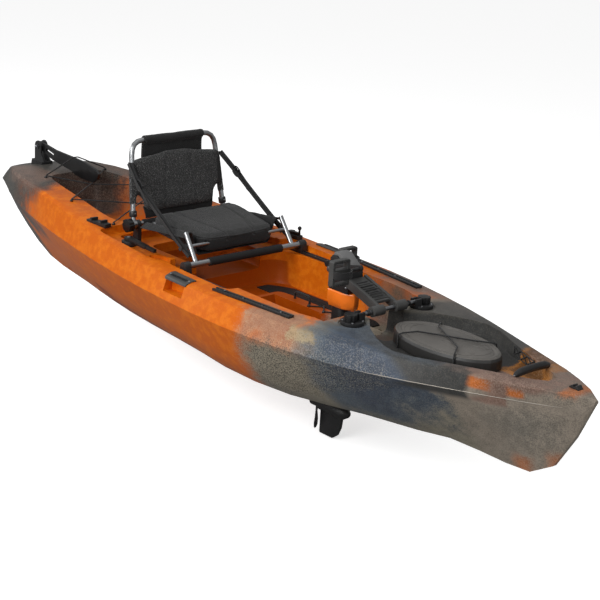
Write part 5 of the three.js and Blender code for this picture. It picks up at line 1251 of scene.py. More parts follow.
def rumpled(piece: Piece, height: float, scale: float, seed: float) -> None:
    """Gives cloth a slow uneven swell.

    Args:
        piece: the object.
        height: the most it rises or falls.
        scale: how many waves there are to the metre.
        seed: shifts the pattern.
    """
    places, normals = coordinates(piece), normals_of(piece)
    shift = Vector((seed, seed, seed))
    wave = np.array([noise.fractal(Vector(p) * scale + shift, 0.8, 2.0, 3) for p in places])
    moved_to(piece, places + normals * (height * wave)[:, None])


def finer(piece: Piece) -> Piece:
    """A mesh subdivided once.

    Args:
        piece: the object.

    Returns:
        The same object.
    """
    modifier = piece.modifiers.new("fine", "SUBSURF")
    modifier.levels = modifier.render_levels = 1
    applied(piece)
    for polygon in piece.data.polygons:
        polygon.use_smooth = True
    return piece


def cloth_from(name: str, grid: np.ndarray, thickness: float) -> Piece:
    """A sheet of cloth through a grid of places.

    Args:
        name: the piece's name.
        grid: the places, in rows and columns.
        thickness: the cloth's thickness, half on each side of the grid.

    Returns:
        The cloth, closed all round.
    """
    rows, wide = grid.shape[:2]
    faces = [(i * wide + j, (i + 1) * wide + j, (i + 1) * wide + j + 1, i * wide + j + 1)
             for i in range(rows - 1) for j in range(wide - 1)]
    cloth = make_object(name, grid.reshape(-1, 3), faces)
    thicken = cloth.modifiers.new("thickness", "SOLIDIFY")
    thicken.thickness = thickness
    thicken.offset = 0.0
    return applied(cloth)


def darker_sides(piece: Piece, finish: Finish, slope: float, top: float = math.inf) -> None:
    """Gives a piece's steep faces a second finish.

    Args:
        piece: the object.
        finish: the finish of its sides.
        slope: the upward share of a face's normal, below which it counts as a side.
        top: the height above which no face is changed.
    """
    piece.data.materials.append(finish.material())
    for face in piece.data.polygons:
        if face.normal.z < slope and face.center.z < top:
            face.material_index = 1


# Sub-assemblies


@dataclass
class Hull:
    """The moulded shell and, on each bow flank, a pale bead that paints the highlight along the crease."""

    smooth_angle: float = 28.0
    # The pale bead that paints the crease highlight: its radius, span, heights and samples.
    highlight_radius: float = 0.0011
    highlight_span: Pair = (1.06, 1.74)
    highlight_height: Pair = (0.281, 0.306)
    highlight_samples: int = 60
    shell: Piece | None = None
    skin: Surface | None = None

    def build(self) -> None:
        """Makes the shell and the painted highlight lines on its flanks."""
        self.shell = dress("hull", Finishes.HULL, "hull", "hull", self.smooth_angle)
        self.skin = Surface(self.shell)
        for side in Side:
            self.moulding_line(side)

    def moulding_line(self, side: Side) -> None:
        """The fine raised pale line along the bow's flank: a painted highlight along the crease.

        Args:
            side: which flank.
        """
        (aft, fore), (low, high) = self.highlight_span, self.highlight_height
        shares = np.linspace(0, 1, self.highlight_samples)
        starts = [(aft + (fore - aft) * s, side.value, low + (high - low) * s) for s in shares]
        line = self.skin.laid(starts, (0, -side.value, 0), self.highlight_radius * 0.2)
        # A pale bead laid where the flank's crease shows a highlight: painted highlight.
        bead = sweep(f"moulding_line_{side.word}", spaced(line, 0.01), ring(self.highlight_radius, 6), grow=taper)
        give(bead, Moulded("painted_highlight_line", tone("A9A196"), 0.5), "hull", "hull")


def taper(share: float) -> float:
    """A section's size along a bead that thins out at both ends.

    Args:
        share: the place along it.

    Returns:
        Its size there.
    """
    return 0.25 + 0.75 * min(1.0, 9 * share, 9 * (1 - share))


@dataclass
class Rails:
    """Accessory rails, seat tracks, grips and floor pads."""

    screw_gap: float = 0.132
    end_inset: float = 0.02
    track_line: Pair = (0.362, 0.342)
    handle_rib_gap: float = 0.0085
    handle_rib: Point = (0.0035, 0.026, 0.0024)
    handle_rib_inset: float = 0.022
    handle_screw_inset: float = 0.010
    tooth_gap: float = 0.012
    tooth_size: Point = (0.004, 0.0135, 0.0012)
    pad_lines: int = 7
    pad_line_start: float = 0.146
    pad_line_gap: float = 0.0125
    pad_line_aft: float = 0.16
    pad_line_step: float = 0.01
    pad_line_fore: float = 0.03

    def build(self) -> None:
        """Makes the rails and pads of both sides."""
        for side in Side:
            self.gear_track(side)
            self.seat_track(side)
            self.handle(side)
            self.floor_pad(side)

    def gear_track(self, side: Side) -> None:
        """A rail for accessories, with its lips and screws.

        Args:
            side: which side.
        """
        node = f"gear_track_{side.word}"
        rail = dress(node, Finishes.BLACK, "hull", "black_plastic", 30, 0.0012)
        low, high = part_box(node)
        top = Surface(rail)
        aft = Vector((low.x + self.end_inset, side.value * self.track_line[0], 1))
        fore = Vector((high.x - self.end_inset, side.value * self.track_line[1], 1))
        starts = [aft.lerp(fore, s) for s in np.linspace(0, 1, 40)]
        middle = top.laid(starts, DOWN)
        if len(middle) > 4:
            line = spaced(middle, 0.01)
            rib_row(node + "_teeth", line[2:-2], Finishes.DEEP, self.tooth_gap, self.tooth_size,
                    "hull", "black_plastic")
            count = int(round((high.x - low.x) / self.screw_gap))
            picks = [line[int(round(k))] for k in np.linspace(3, len(line) - 4, count + 1)]
            heads = [(p + np.array((0, 0, self.tooth_size[2])), UP) for p in picks]
            screw_heads(node + "_screws", heads, Finishes.STEEL)

    def seat_track(self, side: Side) -> None:
        """The channel that the seat's foot slides in.

        Args:
            side: which side.
        """
        node = f"seat_track_{side.word}"
        dress(node, Finishes.BLACK, "hull", "black_plastic", 30, 0.001)
        low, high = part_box(node)
        y = (low.y + high.y) / 2
        places = np.linspace(low.x + self.end_inset, high.x - self.end_inset, 5)
        picks = [(x, y, high.z - 0.0032) for x in places]
        screw_heads(node + "_screws", [(p, UP) for p in picks], Finishes.STEEL, 0.0038)

    def handle(self, side: Side) -> None:
        """A grip over the sheer, with a raised pad and finger ribs.

        Args:
            side: which side.
        """
        node = f"side_handle_{side.word}"
        grip = dress(node, Finishes.GREY, "hull", "grey_plastic", 30, 0.002)
        low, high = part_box(node)
        surface = Surface(grip)
        y = side.value * (abs(low.y) + abs(high.y)) / 2
        inset = self.handle_rib_inset
        starts = [(x, y, 1) for x in np.linspace(low.x + inset, high.x - inset, 30)]
        line = surface.laid(starts, DOWN, 0.0004)
        if len(line) > 4:
            rib_row(node + "_ribs", spaced(line, 0.004), Finishes.DEEP, self.handle_rib_gap, self.handle_rib,
                    "hull", "grey_plastic")
        inset = self.handle_screw_inset
        ends = [surface.hit((x, y, 1), DOWN) for x in (low.x + inset, high.x - inset)]
        screw_heads(node + "_screws", [(met[0], met[1]) for met in ends if met], Finishes.STEEL, 0.0042)

    def floor_pad(self, side: Side) -> None:
        """A foam pad with pressed grip lines.

        Args:
            side: which side.
        """
        node = f"floor_pad_{side.word}"
        pad = copy_of(node, node + "_foam", 30, 0.0008)
        give(pad, Finishes.PAD, "hull", "foam", node)
        low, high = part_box(node)
        lines = []
        for k in range(self.pad_lines):
            y = side.value * (self.pad_line_start + self.pad_line_gap * k)
            start, end = low.x + self.pad_line_aft + self.pad_line_step * k, high.x - self.pad_line_fore
            lines.append(np.array([(x, y, high.z) for x in np.linspace(start, end, 40)]))
        bars = [sweep(f"bar_{side.word}_{k}", spaced(line, 0.03), tape(0.005, 0.0009))
                for k, line in enumerate(lines)]
        give(merged(node + "_lines", bars), Finishes.FOAM, "hull", "foam")


@dataclass
class Cords:
    """Everything laced or tied on the deck."""

    radius: float = 0.003
    eyelet_radius: float = 0.0075
    tank_eyelets: tuple = ((-1.198, 0.163), (-0.850, 0.255), (-0.520, 0.262))
    console_x: Pair = (0.370, 0.590)
    console_y: Pair = (0.058, 0.100)
    console_turns: int = 5
    console_top: float = 0.2513
    eyelet_rise: float = 0.010
    crossing_gap: float = 0.003

    def build(self, hull: Hull) -> None:
        """Makes the cords and what holds them.

        Args:
            hull: the shell that they are tied to.
        """
        self.tank(hull)
        for side in Side:
            self.console(side)
        self.grab_loop()
        self.bow_net()

    def tank(self, hull: Hull) -> None:
        """The cord over the tank well: one length, laced through six eyelets and over the rudder blade.

        Args:
            hull: the shell.
        """
        deck = {}
        for x, y in self.tank_eyelets:
            for side in Side:
                met = hull.skin.hit((x, side.value * y, 1), DOWN)
                deck[(x, side)] = Vector((x, side.value * y, met[0].z + self.eyelet_rise))
        aft, middle, fore = (x for x, _ in self.tank_eyelets)
        port, star = Side.PORT, Side.STARBOARD
        dip = aft + 0.136
        apart = Vector((0, 0, self.crossing_gap))
        route = [
            deck[fore, port], deck[middle, star].lerp(deck[fore, port], 0.5) - apart, deck[middle, star],
            Vector((dip, 0.0, 0.4435)), deck[aft, port],
            Vector((aft - 0.003, 0.012, 0.5345)), Vector((aft - 0.003, -0.012, 0.5345)), deck[aft, star],
            Vector((dip, 0.0, 0.4365)), deck[middle, port],
            deck[middle, port].lerp(deck[fore, star], 0.5) + apart, deck[fore, star],
        ]
        path = self.taut(route, 0.006)
        cord = sweep("tank_cord", path, ring(self.radius, 8))
        give(cord, Finishes.CORD, "hull", "cord", "tank_bungee")
        drop = Vector((0, 0, self.eyelet_rise))
        self.eyelets("tank_eyelets", [(place - drop, UP) for place in deck.values()])

    @staticmethod
    def taut(route: Sequence, round_by: float) -> np.ndarray:
        """Straight runs with small rounds at the turns.

        Args:
            route: the places the cord turns at.
            round_by: how far from a turn the round starts.

        Returns:
            The places along it.
        """
        points = [np.array(p, float) for p in route]
        line = [points[0]]
        for before, here, after in zip(points, points[1:], points[2:]):
            back, ahead = before - here, after - here
            reach = min(round_by, np.linalg.norm(back) / 3, np.linalg.norm(ahead) / 3)
            a, b = here + back / np.linalg.norm(back) * reach, here + ahead / np.linalg.norm(ahead) * reach
            line += [(1 - t) ** 2 * a + 2 * t * (1 - t) * here + t ** 2 * b for t in np.linspace(0, 1, 5)]
        line.append(points[-1])
        return np.array(line)

    def eyelets(self, name: str, places: Sequence) -> None:
        """Domed eyelets screwed to the deck.

        Args:
            name: the piece's name.
            places: where they stand and which way.
        """
        screw_heads(name, places, Finishes.BLACK, self.eyelet_radius, 0.008, "hull", "black_plastic")

    def console(self, side: Side) -> None:
        """The zigzag cord over the console's tray.

        Args:
            side: which side.
        """
        node = f"console_bungee_{side.word}"
        route = []
        for i in range(self.console_turns + 1):
            x = self.console_x[0] + (self.console_x[1] - self.console_x[0]) * i / self.console_turns
            route.append((x, side.value * self.console_y[i % 2], self.console_top - self.radius))
        cord = sweep(node + "_cord", self.taut(route, 0.008), ring(self.radius, 8))
        give(cord, Finishes.CORD, "hull", "cord", node)
        foot = self.console_top - 2 * self.radius
        self.eyelets(node + "_eyelets", [((x, y, foot), UP) for x, y, _ in route])

    def grab_loop(self) -> None:
        """The loop on the console's shoulder."""
        dress("grab_loop", Finishes.CORD, "hull", "cord", 60)

    def bow_net(self) -> None:
        """The knotted net in the bow well."""
        dress("bow_net", Finishes.CORD, "hull", "cord", 60)


@dataclass
class Fittings:
    """Small moulded fittings on the deck."""

    grip: tuple[float, float, float, float] = (1.553, 0.088, 0.3655, 0.3752)
    grip_radius: float = 0.0142
    grip_rib_gap: float = 0.0065
    grip_rib: Point = (0.003, 0.020, 0.0030)
    lever_pivot: Pair = (-0.330, -0.319)
    receiver_screw_circle: float = 0.037

    def build(self) -> None:
        """Makes the clip, the bow handle, the plugs and the levers."""
        dress("paddle_clip", Finishes.BLACK, "hull", "black_plastic", 30, 0.0015)
        self.bow_handle()
        dress("bow_fitting", Finishes.BLACK, "hull", "black_plastic", 30, 0.0012)
        for side in Side:
            self.receiver(side)
        self.steering()
        self.lift()

    def bow_handle(self) -> None:
        """The rubber grip arched across the bow, ribbed along its top."""
        x, reach, low, high = self.grip
        shares = np.linspace(-1, 1, 41)
        heights = low + (high - low) * np.sqrt(np.maximum(0.0, 1 - np.abs(shares) ** 2.4))
        path = np.array([(x, reach * s, z) for s, z in zip(shares, heights)])
        grip = sweep("bow_grip", path, ring(self.grip_radius, 20, 0.86), (1, 0, 0), grow=self.grip_size)
        give(grip, Finishes.BLACK, "hull", "black_plastic", "bow_handle")
        rib_row("bow_grip_ribs", path[13:28], Finishes.DEEP, self.grip_rib_gap, self.grip_rib,
                "hull", "black_plastic")
        ends = [((x, side.value * (reach + 0.001), low + 0.001), UP) for side in Side]
        screw_heads("bow_grip_screws", ends, Finishes.STEEL, 0.0055, 0.003)

    @staticmethod
    def grip_size(share: float) -> float:
        """The grip's thickness along it, thinner where it is screwed down."""
        return 0.62 + 0.38 * min(1.0, 7 * share, 7 * (1 - share))

    def receiver(self, side: Side) -> None:
        """The socket that holds the crossbar, with its knob and screws.

        Args:
            side: which side.
        """
        node = f"receiver_base_{side.word}"
        dress(node, Finishes.BLACK, "hull", "black_plastic", 30, 0.0012)
        low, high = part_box(node)
        centre = ((low.x + high.x) / 2, (low.y + high.y) / 2)
        top = Surface(bpy.data.objects[node + "_skin"])
        spots = []
        for turn in (45, 135, 225, 315):
            x = centre[0] + self.receiver_screw_circle * math.cos(math.radians(turn))
            y = centre[1] + self.receiver_screw_circle * math.sin(math.radians(turn))
            met = top.hit((x, y, 1), DOWN)
            if met:
                spots.append((met[0], UP))
        screw_heads(node + "_screws", spots, Finishes.STEEL, 0.0042)
        knob = f"receiver_knob_{side.word}"
        dress(knob, Finishes.DEEP, knob, "black_plastic", 30, 0.0012)

    def steering(self) -> None:
        """The rudder's hand control on the port side."""
        dress("steering_base", Finishes.BLACK, "hull", "black_plastic", 30, 0.0012)
        dress("steering_handle", Finishes.DEEP, "steering_handle", "black_plastic", 40)
        low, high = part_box("steering_base")
        spots = [((x, (low.y + high.y) / 2, high.z), UP) for x in (low.x + 0.008, high.x - 0.008)]
        screw_heads("steering_screws", spots, Finishes.STEEL, 0.0036)

    def lift(self) -> None:
        """The rudder's lift lever on the starboard ledge."""
        dress("lever_base", Finishes.BLACK, "hull", "black_plastic", 30, 0.0012)
        dress("lift_lever", Finishes.DEEP, "lift_lever", "black_plastic", 30, 0.0014)
        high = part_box("lift_lever")[1]
        pivot = [((*self.lever_pivot, high.z), UP)]
        screw_heads("lever_screw", pivot, Finishes.STEEL, 0.008, 0.003, "lift_lever")


@dataclass
class Hatch:
    """The bow hatch's lid, its pressed panels, and the cord over it."""

    centre: float = 1.163
    half: Pair = (0.236, 0.129)
    rim_shares: Pair = (0.93, 0.80)
    panels: tuple = ((-0.105, 0, 0.056, 0.062), (0.085, 0.038, 0.074, 0.022), (0.085, -0.038, 0.074, 0.022))
    bead_radius: float = 0.0016
    bead_lift: float = 0.0003
    top_slope: float = 0.55
    knot_outline: tuple = ((0, 0.003), (0.006, 0.0028), (0.0085, 0), (0.006, -0.0028), (0, -0.003))
    knot_drop: float = 0.002

    def build(self) -> None:
        """Makes the lid and its cord."""
        lid = dress("hatch_lid", Finishes.LID, "hatch_lid", "grey_plastic", 14, 0.0008)
        # Darkens the lid's steep sides: painted shade.
        darker_sides(lid, Finishes.LID_SIDE, self.top_slope)
        surface = Surface(lid)
        rims = []
        for k, share in enumerate(self.rim_shares):
            turns = np.linspace(0, 2 * math.pi, 120, endpoint=False)
            wide, tall = self.half[0] * share, self.half[1] * share
            starts = [(self.centre + wide * math.cos(t), tall * math.sin(t), 1) for t in turns]
            line = surface.laid(starts, DOWN, self.bead_lift)
            bead = ring(self.bead_radius * (1 - 0.25 * k), 8, 0.7)
            rims.append(sweep(f"rim_{k}", line, bead, UP, closed=True))
        for k, (dx, dy, wide, tall) in enumerate(self.panels):
            turns = np.linspace(0, 2 * math.pi, 60, endpoint=False)
            starts = [(self.centre + dx + wide * math.cos(t), dy + tall * math.sin(t), 1) for t in turns]
            line = surface.laid(starts, DOWN, self.bead_lift)
            if len(line) > 20:
                rims.append(sweep(f"panel_{k}", line, ring(self.bead_radius, 8, 0.6), UP, closed=True))
        give(merged("hatch_lid_beads", rims), Finishes.LID, "hatch_lid", "grey_plastic")
        self.cords()

    def cords(self) -> None:
        """Two cords that cross over the lid, with the knot at the middle."""
        dress("hatch_bungee", Finishes.CORD, "hull", "cord", 60)
        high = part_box("hatch_bungee")[1]
        knot = revolve("hatch_knot", self.knot_outline, (self.centre, 0, high.z - self.knot_drop), "Z", 12)
        give(knot, Finishes.CORD, "hull", "cord")


@dataclass
class Seat:
    """The frame seat: tubes, sewn cushion, mesh back, header and straps."""

    voxel: float = 0.0055
    crown: float = 0.0065
    seam_width: float = 0.006
    seam_depth: float = 0.0042
    cushion_x: Pair = (-0.325, 0.008)
    cushion_half: float = 0.194
    cushion_base: Pair = (0.437, 0.408)
    cushion_thickness: float = 0.058
    cushion_seams: tuple = ((0.02, 0.62), (0.35, 0.60), (0.70, 0.50), (0.98, 0.36))
    panel_seams: tuple = ((0.55, 0.12), (0.50, 0.40), (0.42, 0.65), (0.40, 0.815))
    back_foot: Point = (-0.411, 0.2405, 0.448)
    back_top: Point = (-0.470, 0.216, 0.776)
    header_half: float = 0.156
    header_seam: float = 0.148
    header_seam_ends: Pair = (0.790, 0.700)
    strap_places: tuple = ((-0.447, 0.240, 0.690), (-0.352, 0.257, 0.619), (0.010, 0.266, 0.410))
    strap_width: float = 0.017
    sling_x: Pair = (-0.332, -0.040)
    sling_half: float = 0.262
    sling_rail: float = 0.462
    sling_bed: float = 0.422
    sling_rise: float = 0.030
    rail_radius: float = 0.013
    wall_share: float = 0.70
    wrap_share: float = 0.86
    side_slope: float = 0.35
    side_top: float = 0.470
    skirt_line: tuple = ((-0.4205, 0.505), (-0.4125, 0.4545))
    skirt_half: float = 0.186
    sling_thickness: float = 0.0024
    strap_thickness: float = 0.0022
    collar_radius: float = 0.0165
    collar_shares: tuple = (0.062, 0.07, 0.10, 0.13, 0.138)
    collar_bolt: Point = (0.016, 0, 0.003)
    buckle_half: Pair = (0.017, 0.0155)
    buckle_wire: float = 0.0028
    buckle_bar: float = 0.0024
    buckle_bar_half: float = 0.015
    buckle_bar_shift: float = 0.006
    skirt_belly: float = 0.004
    skirt_taper: float = 0.03
    rivet_place: Pair = (0.036, 0.3957)
    rivet_side: float = 0.3058
    rivet_tops: Pair = (0.235, 0.29)
    hem_reach: float = 0.2085
    hem_lean: float = 0.006
    hem_foot: float = 0.075
    hem_top: float = 0.672

    def build(self) -> None:
        """Makes the seat from the frame up."""
        self.frame()
        self.sling()
        self.skirt()
        self.cushion()
        self.panel()
        self.header()
        for side in Side:
            self.strap(side)

    def frame(self) -> None:
        """Tubes, sleeves, feet, knobs and rivets."""
        dress("seat_frame", Finishes.TUBE, "seat_base", "tube", 50)
        dress("back_frame", Finishes.TUBE, "backrest", "tube", 50)
        for node in ("front_foam", "rear_foam"):
            piece = copy_of(node, node + "_sleeve", 50)
            give(piece, Finishes.FOAM, "seat_base", "foam", node)
        for side in Side:
            for end in ("front", "rear"):
                foot = f"seat_foot_{end}_{side.word}"
                dress(foot, Finishes.BLACK, "seat_base", "black_plastic", 30, 0.0015)
            dress(f"hinge_knob_{side.word}", Finishes.DEEP, "seat_base", "black_plastic", 30, 0.0015)
        x, z = self.rivet_place
        rivets = [((x, side.value * self.rivet_side, z), side.out) for side in Side]
        rivets += [((x, side.value * y, z), UP) for side in Side for y in self.rivet_tops]
        screw_heads("seat_rivets", rivets, Finishes.STEEL, 0.004, 0.002, "seat_base")
        for side in Side:
            self.back_collar(side)

    def back_collar(self, side: Side) -> None:
        """The black clamp round the foot of a back tube.

        Args:
            side: which side.
        """
        foot, top = Vector(self.back_foot), Vector(self.back_top)
        foot.y *= side.value
        top.y *= side.value
        run = top - foot
        path = np.array([foot + run * s for s in self.collar_shares])
        collar = sweep(f"back_collar_{side.word}", path, ring(self.collar_radius, 20), grow=self.collar_size)
        give(collar, Finishes.BLACK, "backrest", "black_plastic")
        bolts = [(foot + run * self.collar_shares[2] + Vector(self.collar_bolt), (1, 0, 0.18))]
        screw_heads(f"back_collar_bolt_{side.word}", bolts, Finishes.STEEL, 0.004, 0.002, "backrest")

    @staticmethod
    def collar_size(share: float) -> float:
        """A collar's thickness along it, drawn in at both ends."""
        return 0.92 if share in (0, 1) else 1.0

    def sling_place(self, along: float, across: float) -> np.ndarray:
        """A place on the black sling that is stretched between the seat's side rails.

        Args:
            along: the share of the way forward.
            across: the share of its half width, negative to starboard.

        Returns:
            The place, in metres.
        """
        aft, fore = self.sling_x
        rail = self.sling_rail + self.sling_rise * along
        bed = self.sling_bed - self.sling_rise * along
        far = abs(across)
        if far > self.wrap_share:
            turn = (far - self.wrap_share) / (1 - self.wrap_share) * math.pi * 0.62
            z = rail - self.rail_radius * (1 - math.cos(turn))
        else:
            rise = min(1.0, max(0.0, (far - self.wall_share) / (self.wrap_share - self.wall_share)))
            z = bed + (rail - bed) * (3 * rise ** 2 - 2 * rise ** 3)
        return np.array((aft + (fore - aft) * along, across * self.sling_half, z))

    def sling(self) -> None:
        """The black cloth under the cushion, drawn over the side rails."""
        rows, columns = 36, 60
        surface = np.array([[self.sling_place(i / rows, 2 * j / columns - 1) for j in range(columns + 1)]
                            for i in range(rows + 1)])
        cloth = cloth_from("seat_sling", surface, self.sling_thickness)
        rumpled(cloth, 0.0016, 13, 5.3)
        soften(cloth, 50)
        give(cloth, Finishes.SLING, "seat_base", "cloth")

    def skirt(self) -> None:
        """The cloth that closes the gap between the back panel and its hinge tube."""
        (top_x, top_z), (low_x, low_z) = self.skirt_line
        rows, columns = 8, 48
        grid = np.empty((rows + 1, columns + 1, 3))
        for i, share in enumerate(np.linspace(0, 1, rows + 1)):
            belly = self.skirt_belly * math.sin(math.pi * share)
            narrow = self.skirt_half * (1 - 2 * self.skirt_taper * share)
            grid[i, :, 0] = top_x + (low_x - top_x) * share + belly
            grid[i, :, 1] = np.linspace(-narrow, narrow, columns + 1)
            grid[i, :, 2] = top_z + (low_z - top_z) * share
        cloth = cloth_from("panel_skirt", grid, self.sling_thickness)
        rumpled(cloth, 0.0014, 17, 2.1)
        soften(cloth, 50)
        give(cloth, Finishes.SLING, "backrest", "cloth")

    def cushion(self) -> None:
        """The padded seat, swollen as cloth, with its sewn channels, piping and stitches."""
        pad = remeshed(copy_of("seat_cushion", "seat_pad", 40), self.voxel)
        relaxed(pad, 3)
        swollen(pad, 4.0, self.crown)
        relaxed(pad, 2)
        surface = Surface(pad)
        aft, fore = self.cushion_x
        lines = {}
        for side in Side:
            starts = [(aft + (fore - aft) * along, side.value * y * self.cushion_half, 1)
                      for along, y in self.cushion_seams]
            lines[side] = surface.laid(even_path(starts, 0.005), DOWN)
        finer(pad)
        for side in Side:
            drawn_in(pad, lines[side], self.seam_width, self.seam_depth)
        rim = self.edge_of(pad, 0.55)
        rumpled(pad, 0.0011, 16, 3.1)
        surface = Surface(pad)
        give(pad, Finishes.CLOTH, "seat_base", "cloth", "seat_cushion")
        darker_sides(pad, Finishes.SLING, self.side_slope, self.side_top)
        for side in Side:
            line = surface.laid([(p[0], p[1], 1) for p in lines[side]], DOWN)
            raised = line + np.array((0, 0, 0.0006))
            self.double_seam(f"seat_stitches_{side.word}", raised, 0.0035, "seat_base")
        if len(rim) > 20:
            piping = sweep("seat_piping", rim, ring(0.0032, 8), closed=True)
            give(piping, Finishes.BINDING, "seat_base", "cloth")

    @staticmethod
    def double_seam(name: str, line: np.ndarray, apart: float, body: str) -> None:
        """Two rows of stitches, one on each side of a seam.

        Args:
            name: the piece's name.
            line: the seam's places.
            apart: how far each row is from the seam.
            body: the body they ride on.
        """
        sewn = [stitch_row(f"{name}_{k}", line + np.array((0, off, 0)), Finishes.THREAD)
                for k, off in enumerate((-apart, apart))]
        give(merged(name, sewn), Finishes.THREAD, body, "cloth")

    def edge_of(self, pad: Piece, height: float) -> np.ndarray:
        """The ring round a cushion at a share of its height.

        Args:
            pad: the cushion.
            height: the share of its height at its rim.

        Returns:
            The ring's places.
        """
        surface = Surface(pad)
        low, high = coordinates(pad).min(axis=0), coordinates(pad).max(axis=0)
        centre = (low + high) / 2
        (aft, fore), (base_aft, base_fore) = self.cushion_x, self.cushion_base
        found = []
        for turn in np.linspace(0, 2 * math.pi, 150, endpoint=False):
            way = np.array((math.cos(turn), math.sin(turn), 0.0))
            x_here = centre[0] + 0.16 * way[0]
            base = base_aft + (base_fore - base_aft) * (x_here - aft) / (fore - aft)
            level = base + self.cushion_thickness * height + 0.02
            met = surface.hit((centre[0] + way[0], centre[1] + way[1], level), -way)
            if met:
                found.append(np.array(met[0]))
        line = np.array(found)
        for _ in range(3):
            line = 0.5 * line + 0.25 * (np.roll(line, 1, axis=0) + np.roll(line, -1, axis=0))
        return line

    def place_on_back(self, across: float, up: float) -> Vector:
        """A place on the leaning back.

        Args:
            across: metres from the middle.
            up: the share of the way up the tubes.

        Returns:
            The place.
        """
        foot, top = Vector(self.back_foot), Vector(self.back_top)
        place = foot.lerp(top, up)
        place.y = across
        return place

    def panel(self) -> None:
        """The mesh sling, with its binding, seams and stitches."""
        sling = remeshed(copy_of("back_panel", "back_sling", 40), 0.0045)
        relaxed(sling, 3)
        swollen(sling, 1.5, 0.004, 14)
        relaxed(sling, 2)
        surface = Surface(sling)
        lines = {}
        for side in Side:
            starts = []
            for y, up in self.panel_seams:
                place = self.place_on_back(side.value * y * self.header_half, up)
                starts.append((0.0, place.y, place.z))
            lines[side] = surface.laid(even_path(starts, 0.005), AFT)
        for side in Side:
            drawn_in(sling, lines[side], 0.005, 0.0026)
        rumpled(sling, 0.0010, 14, 7.7)
        surface = Surface(sling)
        low = coordinates(sling).min(axis=0)
        give(sling, Finishes.MESH, "backrest", "cloth", "back_panel")
        for side in Side:
            line = surface.laid([(0, p[1], p[2]) for p in lines[side]], AFT, 0.0004)
            self.double_seam(f"back_stitches_{side.word}", line, 0.003, "backrest")
            self.side_binding(side, surface, low)

    def side_binding(self, side: Side, surface: Surface, low: np.ndarray) -> None:
        """The hem tape down one side of the sling, stitched along its inner edge.

        Args:
            side: which side.
            surface: the sling's surface.
            low: the sling's lowest corner.
        """
        foot = low[2] + self.hem_foot
        starts = [(0, side.value * (self.hem_reach + self.hem_lean * s), foot + (self.hem_top - foot) * s)
                  for s in np.linspace(1, 0, 50)]
        line = surface.laid(starts, AFT, 0.0006)
        if len(line) < 10:
            return
        hem = sweep(f"back_hem_{side.word}", spaced(line, 0.008), tape(0.030, 0.0016), (0.97, 0, 0.17))
        give(hem, Finishes.BINDING, "backrest", "cloth")
        inner = line + np.array((0.0010, -side.value * 0.012, 0))
        row = stitch_row(f"hem_stitches_{side.word}", inner, Finishes.THREAD)
        give(row, Finishes.THREAD, "backrest", "cloth")

    def header(self) -> None:
        """The black sleeve over the top tube and its flap."""
        sleeve = remeshed(copy_of("header_sleeve", "header_cover", 40), 0.004)
        relaxed(sleeve, 3)
        swollen(sleeve, 1.2, 0.003, 12)
        relaxed(sleeve, 2)
        places = coordinates(sleeve)
        tuck = 0.0022 * np.sin(places[:, 1] * 62 + 0.6) * np.exp(-((places[:, 2] - 0.742) / 0.03) ** 2)
        places[:, 0] += tuck
        moved_to(sleeve, places)
        rumpled(sleeve, 0.0014, 18, 11.3)
        surface = Surface(sleeve)
        give(sleeve, Finishes.HEADER, "backrest", "cloth", "header_sleeve")
        rows = []
        for k, y in enumerate((-self.header_seam, self.header_seam)):
            line = surface.laid([(0, y, z) for z in np.linspace(*self.header_seam_ends, 34)], AFT, 0.0004)
            if len(line) > 5:
                rows.append(stitch_row(f"header_row_{k}", line, Finishes.THREAD))
        if rows:
            give(merged("header_stitches", rows), Finishes.THREAD, "backrest", "cloth")

    def strap(self, side: Side) -> None:
        """A strap from the back to the seat rail, with its buckle and free tail.

        Args:
            side: which side.
        """
        top, middle, foot = (Vector((x, side.value * y, z)) for x, y, z in self.strap_places)
        sag = Vector((0.004, 0, -0.010))
        route = [top, middle, middle.lerp(foot, 0.35) + sag * 0.7, middle.lerp(foot, 0.7) + sag, foot]
        path = even_path(route, 0.008)
        web = sweep(f"strap_web_{side.word}", path, tape(self.strap_thickness, self.strap_width), side.out)
        tail_route = [
            middle + Vector((0.012, side.value * 0.004, -0.006)),
            middle.lerp(foot, 0.12) + Vector((0, side.value * 0.0045, -0.004)),
            middle.lerp(foot, 0.24) + Vector((-0.004, side.value * 0.006, -0.012)),
        ]
        narrower = tape(self.strap_thickness, self.strap_width * 0.92)
        tail = sweep(f"strap_tail_{side.word}", even_path(tail_route, 0.008), narrower, side.out)
        keeper_at = middle.lerp(foot, 0.86) + sag * 0.5
        ahead = (foot - middle).normalized()
        keeper_path = np.array([keeper_at - ahead * 0.008, keeper_at + ahead * 0.008])
        keeper = sweep(f"strap_keeper_{side.word}", keeper_path, tape(0.006, 0.029), side.out)
        whole = merged(f"strap_{side.word}_webbing", [web, tail, keeper])
        self.bend(whole, Finishes.STRAP, "cord", f"strap_{side.word}")
        self.buckle(side, top, middle, foot)

    def bend(self, piece: Piece, finish: Finish, slot: str, *nodes: str) -> None:
        """Dresses a piece that bends between the seat and its back.

        Args:
            piece: the object.
            finish: its finish.
            slot: the record's material slot.
            nodes: the CAD nodes it stands for.
        """
        give(piece, finish, None, slot, *nodes)
        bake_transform(piece, "seat_base", "backrest", start=self.strap_places[2], end=self.strap_places[0])

